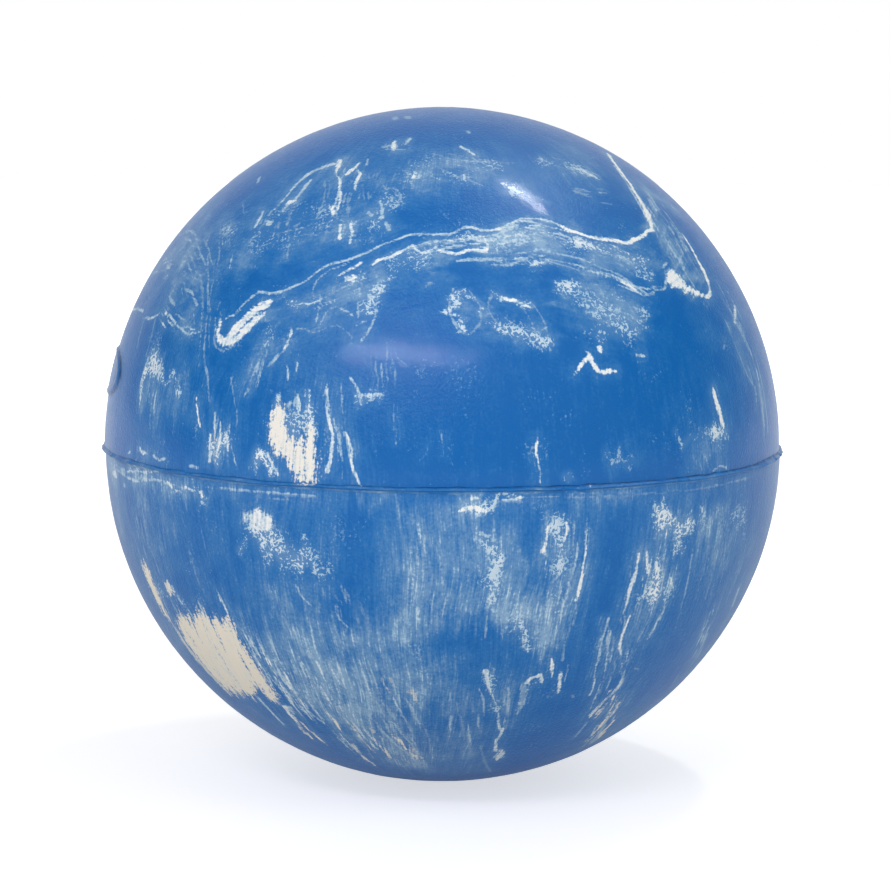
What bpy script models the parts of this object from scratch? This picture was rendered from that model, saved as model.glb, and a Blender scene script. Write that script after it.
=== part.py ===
"""Moulded marbled rubber bowling ball of the small palm-held kind, with no finger holes.

Metres, +Z up. The origin is the centre of the ball, and Z = 0 is the parting plane of its mould.
Two half-shells of cover rubber are vulcanised round a dense core. The rubber squeezed out between
them is a thin web inside the joint and a raised bead outside it.
"""

import math

import bmesh
import bpy
from mathutils import Matrix

# Driving dimensions
BALL_RADIUS = 0.0635  # 127 mm across, not counting the bead
COVER_THICKNESS = 0.0127
CLEARANCE = 0.0003  # left between touching pieces
MOULD_SHIFT = 0.0001  # each half sits this far off centre along X, in opposite directions

# The seam: a web between the halves that widens into the bead outside
WEB_HALF_THICKNESS = 0.00025
BEAD_PROUD = 0.0008
BEAD_HALF_HEIGHT = 0.00095  # where it meets the ball's surface
BEAD_CREST_HALF_HEIGHT = 0.00012
BEAD_ROOT_DEPTH = 0.0005  # how far inside the ball's surface the web starts to widen

# The badge: a blank oval standing proud of the upper half
BADGE_WIDTH = 0.026
BADGE_HEIGHT = 0.009
BADGE_PROUD = 0.0004
BADGE_DEPTH = 0.003  # how far the oval's prism reaches into the cover
BADGE_LONGITUDE = math.radians(-84)  # from -Y, the front, towards +X
BADGE_LATITUDE = math.radians(13)

# How finely the round pieces are divided
SEGMENTS = 64
OUTER_ROWS = 16
INNER_ROWS = 12
BEAD_ROWS = 3
CORE_SEGMENTS = 48
CORE_RINGS = 24
BADGE_SIDES = 32
BADGE_SKIN_SEGMENTS = 96

MERGE_DISTANCE = 1e-5  # the first and last copies of a turned profile are joined within this

COVER_INNER_RADIUS = BALL_RADIUS - COVER_THICKNESS
CORE_RADIUS = COVER_INNER_RADIUS - CLEARANCE - MOULD_SHIFT
LAND_HEIGHT = WEB_HALF_THICKNESS + CLEARANCE  # the halves' flat edges, above and below the web


def clear_scene():
    for obj in list(bpy.data.objects):
        bpy.data.objects.remove(obj, do_unlink=True)


def new_collection(name):
    collection = bpy.data.collections.new(name)
    bpy.context.scene.collection.children.link(collection)
    return collection


def rubber(name, colour, roughness):
    material = bpy.data.materials.new(name)
    material.use_nodes = True
    shader = material.node_tree.nodes["Principled BSDF"]
    shader.inputs["Base Color"].default_value = (*colour, 1.0)
    shader.inputs["Roughness"].default_value = roughness
    shader.inputs["Metallic"].default_value = 0.0
    material.diffuse_color = (*colour, 1.0)
    return material


def add_object(name, mesh, collection, material=None):
    obj = bpy.data.objects.new(name, mesh)
    collection.objects.link(obj)
    if material is not None:
        mesh.materials.append(material)
    return obj


def as_cutter(obj):
    obj.hide_render = True
    obj.display_type = "WIRE"


def arc(radius, low_height, high_height, rows):
    """Points (distance from Z, height) down a sphere, from one height to another."""
    start = math.acos(min(1.0, high_height / radius))
    end = math.acos(low_height / radius)
    angles = [start + (end - start) * i / rows for i in range(rows + 1)]
    return [(radius * math.sin(a), radius * math.cos(a)) for a in angles]


def turned(name, profile, closed, collection, material):
    """A profile of (distance from Z, height) points turned about Z with a Screw modifier."""
    mesh = bpy.data.meshes.new(name)
    points = [(x, 0.0, z) for x, z in profile]
    edges = [(i, i + 1) for i in range(len(points) - 1)]
    if closed:
        edges.append((len(points) - 1, 0))
    mesh.from_pydata(points, edges, [])
    obj = add_object(name, mesh, collection, material)
    screw = obj.modifiers.new("Turn", "SCREW")
    screw.angle = math.tau
    screw.steps = SEGMENTS
    screw.render_steps = SEGMENTS
    screw.use_merge_vertices = True
    screw.merge_threshold = MERGE_DISTANCE
    screw.use_smooth_shade = True
    return obj


def cover_profile():
    """Upper half: down the outside, over the relieved edge and the flat land, and up the inside."""
    relief_height = BEAD_HALF_HEIGHT + CLEARANCE
    land_outer_radius = BALL_RADIUS - BEAD_ROOT_DEPTH - CLEARANCE
    outside = arc(BALL_RADIUS, relief_height, BALL_RADIUS, OUTER_ROWS)
    inside = arc(COVER_INNER_RADIUS, LAND_HEIGHT, COVER_INNER_RADIUS, INNER_ROWS)
    return outside + [(land_outer_radius, LAND_HEIGHT)] + inside[::-1]


def make_upper_cover(collection, cutters, material):
    cover = turned("upper_cover", cover_profile(), False, collection, material)
    cover.location.x = -MOULD_SHIFT
    join = cover.modifiers.new("Badge", "BOOLEAN")
    join.operation = "UNION"
    join.solver = "EXACT"
    join.object = make_badge(cutters)
    return cover


def make_lower_cover(collection, material):
    flipped = [(x, -z) for x, z in reversed(cover_profile())]
    cover = turned("lower_cover", flipped, False, collection, material)
    cover.location.x = MOULD_SHIFT
    return cover


def make_badge(cutters):
    """An oval prism pointing out of the ball, cut to a skin just proud of it."""
    mesh = bpy.data.meshes.new("badge")
    oval = bmesh.new()
    bmesh.ops.create_cone(
        oval,
        cap_ends=True,
        segments=BADGE_SIDES,
        radius1=0.5,
        radius2=0.5,
        depth=2 * BADGE_DEPTH,
        matrix=Matrix.Diagonal((BADGE_WIDTH, BADGE_HEIGHT, 1.0, 1.0)),
    )
    place = (
        Matrix.Rotation(BADGE_LONGITUDE, 4, "Z")
        @ Matrix.Rotation(-BADGE_LATITUDE, 4, "X")
        @ Matrix.Translation((0.0, -BALL_RADIUS, 0.0))
        @ Matrix.Rotation(math.pi / 2, 4, "X")
    )
    bmesh.ops.transform(oval, matrix=place, verts=oval.verts)
    oval.to_mesh(mesh)
    oval.free()
    badge = add_object("badge", mesh, cutters)
    trim = badge.modifiers.new("Skin", "BOOLEAN")
    trim.operation = "INTERSECT"
    trim.solver = "EXACT"
    trim.object = make_badge_skin(cutters)
    badge.location.x = -MOULD_SHIFT
    as_cutter(badge)
    return badge


def make_badge_skin(cutters):
    skin = new_sphere(
        "badge_skin", BALL_RADIUS + BADGE_PROUD, BADGE_SKIN_SEGMENTS, BADGE_SKIN_SEGMENTS // 2, cutters
    )
    skin.location.x = -MOULD_SHIFT
    as_cutter(skin)
    return skin


def new_sphere(name, radius, segments, rings, collection, material=None):
    mesh = bpy.data.meshes.new(name)
    ball = bmesh.new()
    bmesh.ops.create_uvsphere(ball, u_segments=segments, v_segments=rings, radius=radius)
    ball.to_mesh(mesh)
    ball.free()
    mesh.shade_smooth()
    return add_object(name, mesh, collection, material)


def make_seam_bead(collection, material):
    """The web between the halves, widening into a rounded bead outside them."""
    root_radius = BALL_RADIUS - BEAD_ROOT_DEPTH
    flank = []
    for i in range(BEAD_ROWS + 1):
        turn = math.pi / 2 * i / BEAD_ROWS
        rise = BEAD_PROUD * math.sin(turn)
        height = BEAD_CREST_HALF_HEIGHT + (BEAD_HALF_HEIGHT - BEAD_CREST_HALF_HEIGHT) * math.cos(turn)
        flank.append((BALL_RADIUS + rise, height))
    web = [(COVER_INNER_RADIUS, WEB_HALF_THICKNESS), (root_radius, WEB_HALF_THICKNESS)]
    upper = web + flank
    lower = [(x, -z) for x, z in reversed(upper)]
    return turned("seam_bead", upper + lower, True, collection, material)


def main():
    clear_scene()
    ball = new_collection("bowling_ball")
    cutters = new_collection("cutters")
    upper_rubber = rubber("upper_cover_rubber", (0.03, 0.17, 0.46), 0.42)
    lower_rubber = rubber("lower_cover_rubber", (0.05, 0.20, 0.48), 0.45)
    bead_rubber = rubber("bead_rubber", (0.04, 0.15, 0.38), 0.5)
    core_rubber = rubber("core_rubber", (0.05, 0.05, 0.055), 0.75)
    make_upper_cover(ball, cutters, upper_rubber)
    make_lower_cover(ball, lower_rubber)
    make_seam_bead(ball, bead_rubber)
    new_sphere("core", CORE_RADIUS, CORE_SEGMENTS, CORE_RINGS, ball, core_rubber)


main()
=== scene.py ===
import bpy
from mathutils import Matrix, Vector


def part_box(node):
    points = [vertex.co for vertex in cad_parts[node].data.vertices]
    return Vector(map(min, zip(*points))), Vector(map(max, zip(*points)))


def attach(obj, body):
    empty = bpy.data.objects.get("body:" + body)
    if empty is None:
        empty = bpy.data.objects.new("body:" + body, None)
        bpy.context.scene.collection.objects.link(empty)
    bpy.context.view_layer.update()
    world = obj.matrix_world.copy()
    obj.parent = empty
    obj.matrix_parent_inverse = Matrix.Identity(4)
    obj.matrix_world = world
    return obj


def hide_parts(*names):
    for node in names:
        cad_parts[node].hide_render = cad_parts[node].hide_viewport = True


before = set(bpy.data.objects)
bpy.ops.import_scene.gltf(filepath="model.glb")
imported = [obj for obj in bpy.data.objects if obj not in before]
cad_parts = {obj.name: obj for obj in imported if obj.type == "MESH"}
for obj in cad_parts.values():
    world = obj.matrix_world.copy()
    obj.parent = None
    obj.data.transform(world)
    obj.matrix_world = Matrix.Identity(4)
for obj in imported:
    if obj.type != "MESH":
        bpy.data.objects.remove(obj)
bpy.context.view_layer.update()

# The looks of a moulded, marbled rubber bowling ball of the palm-held kind. Metres, +Z up.
# Places on the ball are longitude and latitude in degrees: longitude 0 faces -Y, the front, and grows
# towards +X. Latitude 0 is the parting plane. The marbling is listed marks painted onto each
# mesh as smooth fields, which the rubber's node material sharpens into lines, speckle and streaks.

import math
from types import SimpleNamespace

import bpy
import numpy as np
from mathutils import Matrix, Vector

# Sizes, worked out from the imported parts
BALL_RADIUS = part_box("upper_cover")[1].z
BEAD_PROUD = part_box("seam_bead")[1].x - BALL_RADIUS
BEAD_HALF_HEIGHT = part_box("seam_bead")[1].z
LAND_HEIGHT = BEAD_HALF_HEIGHT * 0.25  # each cover's flat edge lies this far from the parting plane
CLEARANCE = 0.0003
COVER_INNER_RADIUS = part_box("core")[1].z + CLEARANCE
MOULD_SHIFT = (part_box("lower_cover")[1].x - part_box("upper_cover")[1].x) / 2

# How finely the covers and the bead are divided
COLUMNS = 1200
OUTER_ROWS = 300
INNER_ROWS = 24
BEAD_COLUMNS = 1440

# The badge: a blank oval plate with a rounded rim, on the upper half
BADGE_LONGITUDE = -84.0
BADGE_LATITUDE = 13.0
BADGE_HALF_WIDTH = 0.013
BADGE_HALF_HEIGHT = 0.0045
BADGE_PLATE_RISE = 0.00022
BADGE_RIM_RISE = 0.00018


# ---------------------------------------------------------------- noise

def lattice_noise(points, cell, seed):
    """Smooth noise from 0 to 1 at points (n, 3), with features about one cell across."""
    scaled = points / cell + 100.0
    base = np.floor(scaled).astype(np.int64)
    share = scaled - base
    ease = share * share * (3 - 2 * share)
    total = np.zeros(len(points))
    for corner in np.ndindex(2, 2, 2):
        i, j, k = (base + corner).T
        mixed = (i * 73856093) ^ (j * 19349663) ^ (k * 83492791) ^ (seed * 2654435761)
        mixed = (mixed ^ (mixed >> 13)) * 1274126177
        value = ((mixed ^ (mixed >> 16)) & 0xFFFF) / 65535.0
        weight = np.prod(np.where(corner, ease, 1 - ease), axis=1)
        total += value * weight
    return total


def layered_noise(points, cell, seed, octaves=3):
    """Several sizes of noise added up, centred on 0 and about -1 to 1."""
    total = np.zeros(len(points))
    strength = 1.0
    for octave in range(octaves):
        total += strength * (2 * lattice_noise(points, cell, seed + octave) - 1)
        cell /= 2.1
        strength *= 0.5
    return total


def smooth(low, high, value):
    share = np.clip((value - low) / (high - low), 0, 1)
    return share * share * (3 - 2 * share)


# ---------------------------------------------------------------- places on the ball

def directions(longitudes, latitudes):
    """Unit vectors (..., 3) for places in degrees."""
    lon, lat = np.broadcast_arrays(np.radians(longitudes), np.radians(latitudes))
    return np.stack([np.cos(lat) * np.sin(lon), -np.cos(lat) * np.cos(lon), np.sin(lat)], axis=-1)


def places(units):
    """Longitude and latitude in degrees of unit vectors."""
    lon = np.degrees(np.arctan2(units[:, 0], -units[:, 1]))
    lat = np.degrees(np.arcsin(np.clip(units[:, 2], -1, 1)))
    return lon, lat


def wandered(units, seed, broad, fine):
    """The same directions pushed about by noise, by about broad and fine degrees."""
    moved = units.copy()
    for axis in range(3):
        moved[:, axis] += math.radians(broad) * layered_noise(units, 0.22, seed + 10 * axis, 2)
        moved[:, axis] += math.radians(fine) * layered_noise(units, 0.035, seed + 10 * axis + 5, 2)
    return moved / np.linalg.norm(moved, axis=1, keepdims=True)


# The height of the flow layers above the parting plane at some longitudes, in degrees
LAYER_LONGITUDES = (-180, -90, -60, -35, -10, 20, 45, 60, 90, 180)
LAYER_HEIGHTS = (33, 35, 29, 28, 39, 43, 35, 40, 36, 33)
ALONG_FLOW = 0.10  # how quickly a flow coordinate changes along the flow, against across it


def down_flow(lon, lat, bent=0.0):
    """Coordinates that change quickly across rubber flowing down the ball, and slowly along it."""
    down = np.radians(lon + bent)
    return np.column_stack([np.cos(down), np.sin(down), np.radians(lat) * ALONG_FLOW])


def layer_flow(lon, lat, bent=0.0):
    """Coordinates that change quickly across rubber flowing round the ball, and slowly along it."""
    layer = np.radians(lat - np.interp(lon, LAYER_LONGITUDES, LAYER_HEIGHTS) + bent)
    level = np.radians(lon)
    return np.column_stack([np.cos(level) * ALONG_FLOW, np.sin(level) * ALONG_FLOW, layer])


def swirl_of(units):
    """1 where the rubber flowed round the ball, 0 where it flowed down it."""
    lat = places(units)[1]
    return smooth(15, 27, lat) * (1 - 0.7 * smooth(44, 54, lat))


def combed(units, seed, swirl, amount):
    """The same directions slid to and fro along the flow, so that the ends of marks fray into needles."""
    lon, lat = places(units)
    down = layered_noise(down_flow(lon, lat), 0.022, seed, 3)
    along = layered_noise(layer_flow(lon, lat), 0.022, seed + 1, 3)
    return directions(lon + amount * swirl * along, lat + amount * (1 - swirl) * down)


# ---------------------------------------------------------------- marks

# Each mark is (half width in degrees, whiteness or strength, points). A point is longitude, latitude
# and, where the mark is thinner or thicker there, a share of the half width.

UPPER_LINES = (
    # the long front line, from the hook at the left round to the right-hand side
    (0.24, 0.68, ((-39, 26.5), (-37.5, 28.5), (-35.5, 30), (-33, 30), (-30, 30.5), (-28, 31.5),
        (-26, 32.5), (-24.5, 34), (-22.5, 35.5), (-19, 36.5), (-15, 38), (-12, 39.5), (-9.5, 40.5),
        (-7, 41.5), (-3, 41.5), (1, 41.5), (3, 42.5), (4.5, 43))),
    (0.26, 0.75, ((4.5, 43), (6, 43), (7.5, 42.5), (9.5, 42.5), (12, 43), (15, 44), (17, 45), (19.5, 45),
        (22, 45), (24, 44.5), (26, 43.5))),
    (0.45, 1.00, ((26, 43.5, 0.7), (28, 42.5), (30, 42), (33, 41), (36, 40.5), (39, 40), (42, 39.5),
        (44, 40), (46, 40.5, 0.8), (48, 41, 0.7), (50, 42, 0.7), (52, 42.5, 0.9), (53.5, 44, 1.3),
        (55, 45.5, 1.4), (56, 47, 1.3), (58, 50), (60, 52), (63, 55), (66, 57), (70, 59), (75, 60.5))),
    (0.25, 0.75, ((52.5, 43), (54, 46), (55.5, 48.5), (57.5, 51), (60.5, 54), (64, 57))),
    # the band's inner lines
    (0.25, 0.70, ((8, 40.5), (10, 41), (12, 42), (14, 43), (16, 44), (18, 44.5), (21, 44), (24, 43))),
    (0.28, 0.85, ((-13.5, 35.5), (-12.5, 36.5), (-11, 37), (-9, 38), (-7.5, 39), (-6.5, 39.5),
        (-5.5, 38.5), (-4, 38), (-3, 38.5), (-2, 39), (-1, 38.5), (1, 38), (3, 38), (4.5, 38.5),
        (6.5, 38.5), (8.5, 38.5), (9, 40))),
    (0.24, 0.62, ((2.5, 36.5), (5, 37), (8, 37), (10.5, 37), (12.5, 36), (15, 37), (18, 38), (22, 38),
        (25, 37.5), (29, 36.5), (32, 35), (34, 34.5), (36, 33.5), (38, 32), (39.5, 31), (41, 30),
        (43, 30.5), (45, 30.5), (46.5, 31.5), (47.5, 33), (48.5, 35), (50, 35.5))),
    (0.22, 0.55, ((24, 36.5), (26, 36), (28, 35.5), (31, 34.5), (33, 34), (35, 33))),
    (0.30, 0.85, ((35.5, 32.5, 0.6), (36.5, 32), (38, 31, 0.7))),
    (0.28, 0.80, ((17, 36, 0.6), (18.5, 36.5), (21, 36.5, 0.7))),
    (0.22, 0.60, ((-24, 30), (-24, 31.5), (-23.5, 33), (-22, 34.5), (-20.5, 35), (-18.5, 36))),
    # the white hook
    (0.85, 1.00, ((-32.5, 28), (-34, 27.5), (-36, 26), (-37.5, 24.5), (-38.5, 23), (-39.5, 21.5),
        (-41, 22, 0.8), (-42, 23, 0.6), (-42, 24.5, 0.4), (-42.5, 26, 0.3))),
    (0.70, 1.00, ((-32.5, 26.5, 0.7), (-34, 25.5), (-35.5, 24), (-37, 22.5), (-38.5, 21.5), (-39.5, 21.5))),
    (0.20, 0.50, ((-44, 28), (-44, 26), (-43, 24), (-42.5, 22), (-41, 20.5), (-39.5, 20), (-38, 20.5),
        (-36.5, 22))),
    (0.35, 0.75, ((-41, 25.5, 0.7), (-39.5, 26), (-38, 27, 0.6))),
    # marks inside the band, at the left
    (0.45, 0.95, ((-20, 33, 0.4), (-19, 34, 0.5), (-17.5, 35, 0.7), (-16, 36))),
    (0.80, 0.95, ((-18, 33, 0.8), (-17, 33))),
    (0.20, 0.60, ((-22.5, 29.5), (-22, 28), (-22, 26, 1.5), (-22, 25.5))),
    (0.30, 0.80, ((-27, 20.5, 0.8), (-26.5, 22.5), (-26.5, 24))),
    (0.18, 0.50, ((-26.5, 24), (-24, 24), (-22, 23.5), (-20, 24.5), (-18, 25), (-16, 24), (-15, 23))),
    (0.30, 0.60, ((-29.5, 18), (-28, 19.5), (-27, 20.5))),
    (0.24, 0.64, ((-13.5, 22.5), (-12, 24.5), (-11.5, 28), (-11.5, 31), (-12.5, 34))),
    (0.22, 0.60, ((-21, 25), (-20.5, 27), (-19, 28), (-17, 27.5), (-15.5, 26.5))),
    (0.28, 0.75, ((-14.5, 25), (-13, 25.5))),
    (0.28, 0.60, ((-3, 32), (-2.5, 32.5), (-1.5, 32.5, 0.6))),
    (0.28, 0.70, ((8.5, 39), (9.5, 40.5), (11, 41.5), (13.5, 42.5), (16, 43.5))),
    (0.22, 0.62, ((-15, 33.5), (-15, 29.5), (-14.5, 26))),
    (0.22, 0.52, ((2, 31.5), (1.5, 28.5), (2.5, 26), (4, 24.5))),
    (0.20, 0.50, ((5, 31.5), (6.5, 29), (6.5, 26.5), (5, 24.5))),
    (0.20, 0.48, ((9, 31), (8, 28.5), (10, 25.5), (13, 24))),
    (0.20, 0.50, ((16, 29.5), (17.5, 27), (18, 24), (18, 21))),
    (0.18, 0.44, ((14, 29), (15.5, 26.5), (16, 23))),
    # lines sweeping down from the left limb
    (0.25, 0.55, ((-76, 40), (-70, 40), (-65, 39), (-61.5, 37.5), (-58, 36), (-54.5, 34.5), (-52, 33))),
    (0.22, 0.50, ((-74, 38), (-68, 37.5), (-63, 37), (-59.5, 35.5), (-57, 35))),
    (0.22, 0.52, ((-55, 36), (-52, 33.5), (-50, 31.5), (-48, 28.5), (-46.5, 26.5), (-45.5, 24),
        (-44.5, 21), (-43.5, 19), (-42, 16.5), (-41, 14), (-40.5, 12))),
    (0.16, 0.42, ((-51, 35), (-48.5, 31.5), (-47, 28), (-45.5, 26), (-44.5, 23.5), (-43, 20.5))),
    (0.30, 0.65, ((-56.5, 29.5, 0.8), (-54, 29), (-52, 28), (-50, 27, 1.2))),
    (0.35, 0.55, ((-61, 28), (-59, 27), (-57.5, 26.5, 0.6))),
    (0.25, 0.72, ((-57, 24.5), (-54.5, 23.5), (-52, 23), (-50.5, 22.5), (-48, 22.5), (-46, 23))),
    (0.30, 0.70, ((-88, 23), (-82, 24), (-76, 24.5), (-71, 24.5))),
    (0.28, 0.75, ((-68, 23.5), (-65, 23.5), (-62, 24.5))),
    (0.25, 0.45, ((-62.5, 23.5), (-61.5, 21), (-61, 17.5))),
    (0.35, 0.40, ((-68, 23.5), (-67.5, 21), (-66.5, 18.5))),
    (0.25, 0.75, ((-60, 18.5, 0.6), (-60.5, 15.5), (-60.5, 12.5), (-60, 11, 0.6))),
    (0.20, 0.95, ((-43.5, 12.5), (-43, 10.5), (-42, 8))),
    (0.30, 0.85, ((-28, 4.5, 0.7), (-27, 3), (-26, 1.5))),
    (0.24, 0.70, ((-15, 17), (-13.5, 15), (-13, 13))),
    (0.28, 0.75, ((-13, 14.5), (-11.5, 14.5), (-9.5, 14.5))),
    (0.35, 0.85, ((-58, 2.5, 0.8), (-57, 2), (-55.5, 2, 0.6))),
    (0.30, 0.70, ((-53.5, 2), (-51.5, 1.5), (-50, 2))),
    (0.30, 0.65, ((-44, 1.5), (-42, 1.5))),
    (0.25, 0.60, ((49, 1), (50.5, 1.5), (52.5, 1))),
    (0.25, 0.80, ((-63, 1), (-62, 1.5))),
    (0.16, 0.50, ((-51.5, 4.5), (-52, 3), (-52.5, 2))),
    (0.30, 0.50, ((-59, 39.5), (-58.5, 38), (-57.5, 37.5))),
    (0.35, 0.55, ((-55.5, 41.5), (-54, 42), (-53, 41), (-52.5, 40), (-53.5, 40))),
    # streaks rising from the parting line, left of centre
    (0.30, 0.80, ((-39.5, 7, 0.5), (-39.5, 5), (-39.5, 2.5))),
    (0.38, 0.90, ((-37.5, 9, 0.4), (-37.5, 6.5), (-38, 3.5))),
    (0.38, 0.90, ((-36, 8, 0.5), (-36, 6), (-35.5, 4.5, 0.6))),
    (0.20, 0.65, ((-35.5, 8.5), (-35, 5.5), (-34, 2.5))),
    (0.16, 0.50, ((-36.5, 16), (-35.5, 13.5), (-34.5, 11), (-34, 8.5))),
    (0.26, 0.80, ((-18.5, 14, 0.6), (-18.5, 12), (-17.5, 9.5), (-17, 7), (-17, 5, 1.3), (-17.5, 2.5, 1.5))),
    (0.18, 0.60, ((-17, 10.5), (-16, 7), (-15, 4), (-15, 1.5))),
    (0.20, 0.80, ((-15, 8.5), (-14, 6), (-13.5, 3), (-12, 0.5))),
    (0.14, 0.55, ((-7, 9.5), (-7, 7))),
    (0.14, 0.40, ((-3.5, 4.5), (-2.5, 5.5), (-2, 7))),
    (0.12, 0.45, ((0, 9), (0.5, 5))),
    (0.16, 0.42, ((-9, 22.5), (-9, 19), (-8.5, 16.5))),
    (0.16, 0.40, ((-7.5, 21), (-7, 20), (-5.5, 19))),
    (0.36, 1.00, ((15, 8, 0.4), (15, 7), (15, 5.5, 0.7), (15.5, 3, 0.3), (15.5, 1, 0.3))),
    # the small forked mark and its neighbours
    (0.40, 1.00, ((22, 17.5, 0.6), (23, 19), (24, 20, 1.2), (25, 20.5), (25.5, 19), (26.5, 18),
        (28.5, 18), (29.5, 18, 0.6))),
    (0.35, 0.90, ((24.5, 21.5, 0.6), (25, 20.5))),
    (0.45, 0.90, ((27, 22), (27, 21.5))),
    (0.25, 0.70, ((34, 20.5), (35.5, 20))),
    (0.32, 0.85, ((10.5, 30.5, 0.6), (12.5, 30), (14.5, 29.5), (16, 28.5, 0.5))),
    # the blob and the fold at the right
    (2.00, 1.00, ((49.5, 32.5), (50.5, 32, 0.9), (52, 30.5, 0.5), (54, 30, 0.3), (56, 29, 0.3))),
    (0.50, 1.00, ((54, 30, 0.8), (57, 29), (59, 29), (60.5, 30), (61.5, 32), (62, 35), (63, 38, 0.6),
        (63.5, 41, 0.4))),
    (0.28, 0.60, ((55, 30.5), (54.5, 32.5), (54.5, 35), (54, 38, 1.4), (54.5, 41))),
    (0.24, 0.50, ((51.5, 38), (52, 40.5), (53, 43))),
    (0.20, 0.45, ((52.5, 34), (53, 38), (53.5, 42.5))),
    (0.20, 0.45, ((57.5, 32), (57, 36), (56.5, 40), (56, 44.5))),
    (0.20, 0.40, ((59, 33), (59, 37.5), (58.5, 42), (58.5, 47))),
    (0.40, 0.60, ((59.5, 42.5), (59, 41, 0.6))),
    (0.24, 0.50, ((62, 43.5), (61, 39), (60.5, 35))),
    (0.24, 0.50, ((66, 31.5), (66, 29), (66, 27))),
    (0.55, 0.80, ((65.5, 24, 0.7), (67, 25), (69, 26.5, 0.7))),
    (0.30, 0.45, ((61.5, 24.5), (62, 20), (63, 15.5), (64.5, 13.5))),
    (0.40, 0.50, ((57, 20), (58, 20.5))),
    (0.62, 1.00, ((50.5, 13.5, 0.7), (51, 11.5), (51.5, 9.5), (52, 7.5, 0.8))),
    (0.30, 0.42, ((70, 14), (70, 9), (70, 5))),
    # the crown
    (0.50, 0.75, ((-34.5, 57.5), (-38, 56.5), (-40.5, 55), (-42, 52.5, 0.8), (-42, 49, 0.6),
        (-42.5, 46, 0.5))),
    (0.45, 0.95, ((-34.5, 58.5), (-33, 56.5), (-31.5, 54.5, 0.5), (-30, 54, 0.4))),
    (0.32, 0.90, ((-30, 54, 0.6), (-28.5, 53), (-27, 51), (-25.5, 49), (-25, 46.5))),
    (0.24, 0.75, ((-29, 54, 0.6), (-27.5, 52), (-26.5, 49.5), (-26, 47))),
    (0.60, 0.95, ((-26.5, 47, 0.7), (-25.5, 45.5, 0.8))),
    (0.45, 0.88, ((-26.5, 58, 0.5), (-27, 56.5), (-28, 55))),
    (0.24, 0.60, ((-25, 59), (-24, 57.5))),
    (0.36, 0.85, ((-25.5, 56, 0.7), (-24, 54.5), (-23.5, 52.5), (-22.5, 51, 0.6))),
    (0.22, 0.45, ((-23, 50), (-22.5, 47), (-21, 44.5))),
    (0.22, 0.45, ((-33.5, 53), (-31, 50.5), (-29.5, 48), (-29, 45))),
    (0.22, 0.42, ((-32, 53), (-30, 51), (-29, 49))),
    (0.45, 0.72, ((-38.5, 53, 0.7), (-38.5, 51), (-38.5, 48.5))),
    (0.70, 0.92, ((-39.5, 47.5), (-38.5, 48, 0.6))),
    (0.40, 0.70, ((-39.5, 47), (-39.5, 45.5))),
    (0.60, 0.75, ((-41.5, 43), (-41, 43))),
    (0.32, 0.75, ((-46, 45.5), (-45, 44), (-45, 42))),
    (0.30, 0.60, ((-34, 42.5), (-33, 43))),
    (0.32, 0.85, ((-22.5, 43.5), (-22, 42), (-21.5, 40.5))),
    (0.34, 0.85, ((-20, 43.5), (-19, 42), (-19, 40))),
    (0.24, 0.50, ((-18, 42.5), (-18.5, 41))),
    (0.24, 0.55, ((-29.5, 46.5), (-29, 44.5))),
    (0.24, 0.50, ((-27, 44), (-27, 42.5))),
    (0.24, 0.50, ((-33, 39), (-32, 36.5))),
    (0.24, 0.55, ((-15.5, 52), (-14.5, 51), (-13, 51.5), (-11, 50.5), (-10, 48.5))),
    (0.30, 0.70, ((-15, 48.5), (-14, 47), (-13.5, 45))),
    (0.45, 0.62, ((-17, 46), (-16, 45.5))),
    (0.32, 0.62, ((-12.5, 44), (-11.5, 42.5))),
    (0.22, 0.45, ((-8, 53), (-7.5, 51.5))),
    (0.22, 0.50, ((-19.5, 55), (-19.5, 53.5))),
    (0.60, 0.90, ((-20, 65, 0.7), (-19, 63.5), (-18, 62, 0.5))),
    (0.50, 0.60, ((-22.5, 63), (-20.5, 63.5))),
    (0.60, 0.70, ((-15, 66, 0.8), (-14.5, 64, 0.6))),
    (0.60, 0.90, ((-8, 55, 0.7), (-8, 54, 0.6))),
    (0.35, 0.65, ((-61, 53), (-59, 52))),
    (0.40, 0.80, ((6, 63.5), (8, 62.5), (10.5, 60.5, 0.5))),
    (0.45, 0.75, ((5.5, 55, 0.7), (5.5, 54))),
    (0.50, 0.80, ((43, 56.5, 0.6), (45.5, 55, 1.2), (47.5, 53.5, 0.6))),
    (0.45, 0.60, ((10.5, 69.5), (10.5, 69))),
    (0.60, 0.50, ((-38, 76.5), (-34, 75.5))),
    (0.60, 0.50, ((-29, 77), (-25.5, 76))),
)

UPPER_CREAM = (
    # the cream patch that reaches down to the parting line
    (1.60, 1.00, ((-26, 12.5, 0.4), (-26.5, 10, 0.8), (-26, 8), (-25, 6.5), (-23.5, 5, 0.8))),
    (1.60, 1.00, ((-24.5, 6.5, 0.8), (-23, 4.5), (-22, 2.5, 0.9), (-21.5, 1, 0.6))),
    (1.25, 1.00, ((-21, 9.5, 0.4), (-20.5, 6.5, 0.8), (-20.5, 4), (-20.5, 1, 0.8))),
    # a smaller streak to its left
    (0.30, 0.60, ((-38.5, 8, 0.5), (-38.5, 5), (-38.5, 2.5, 0.7))),
)

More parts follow.
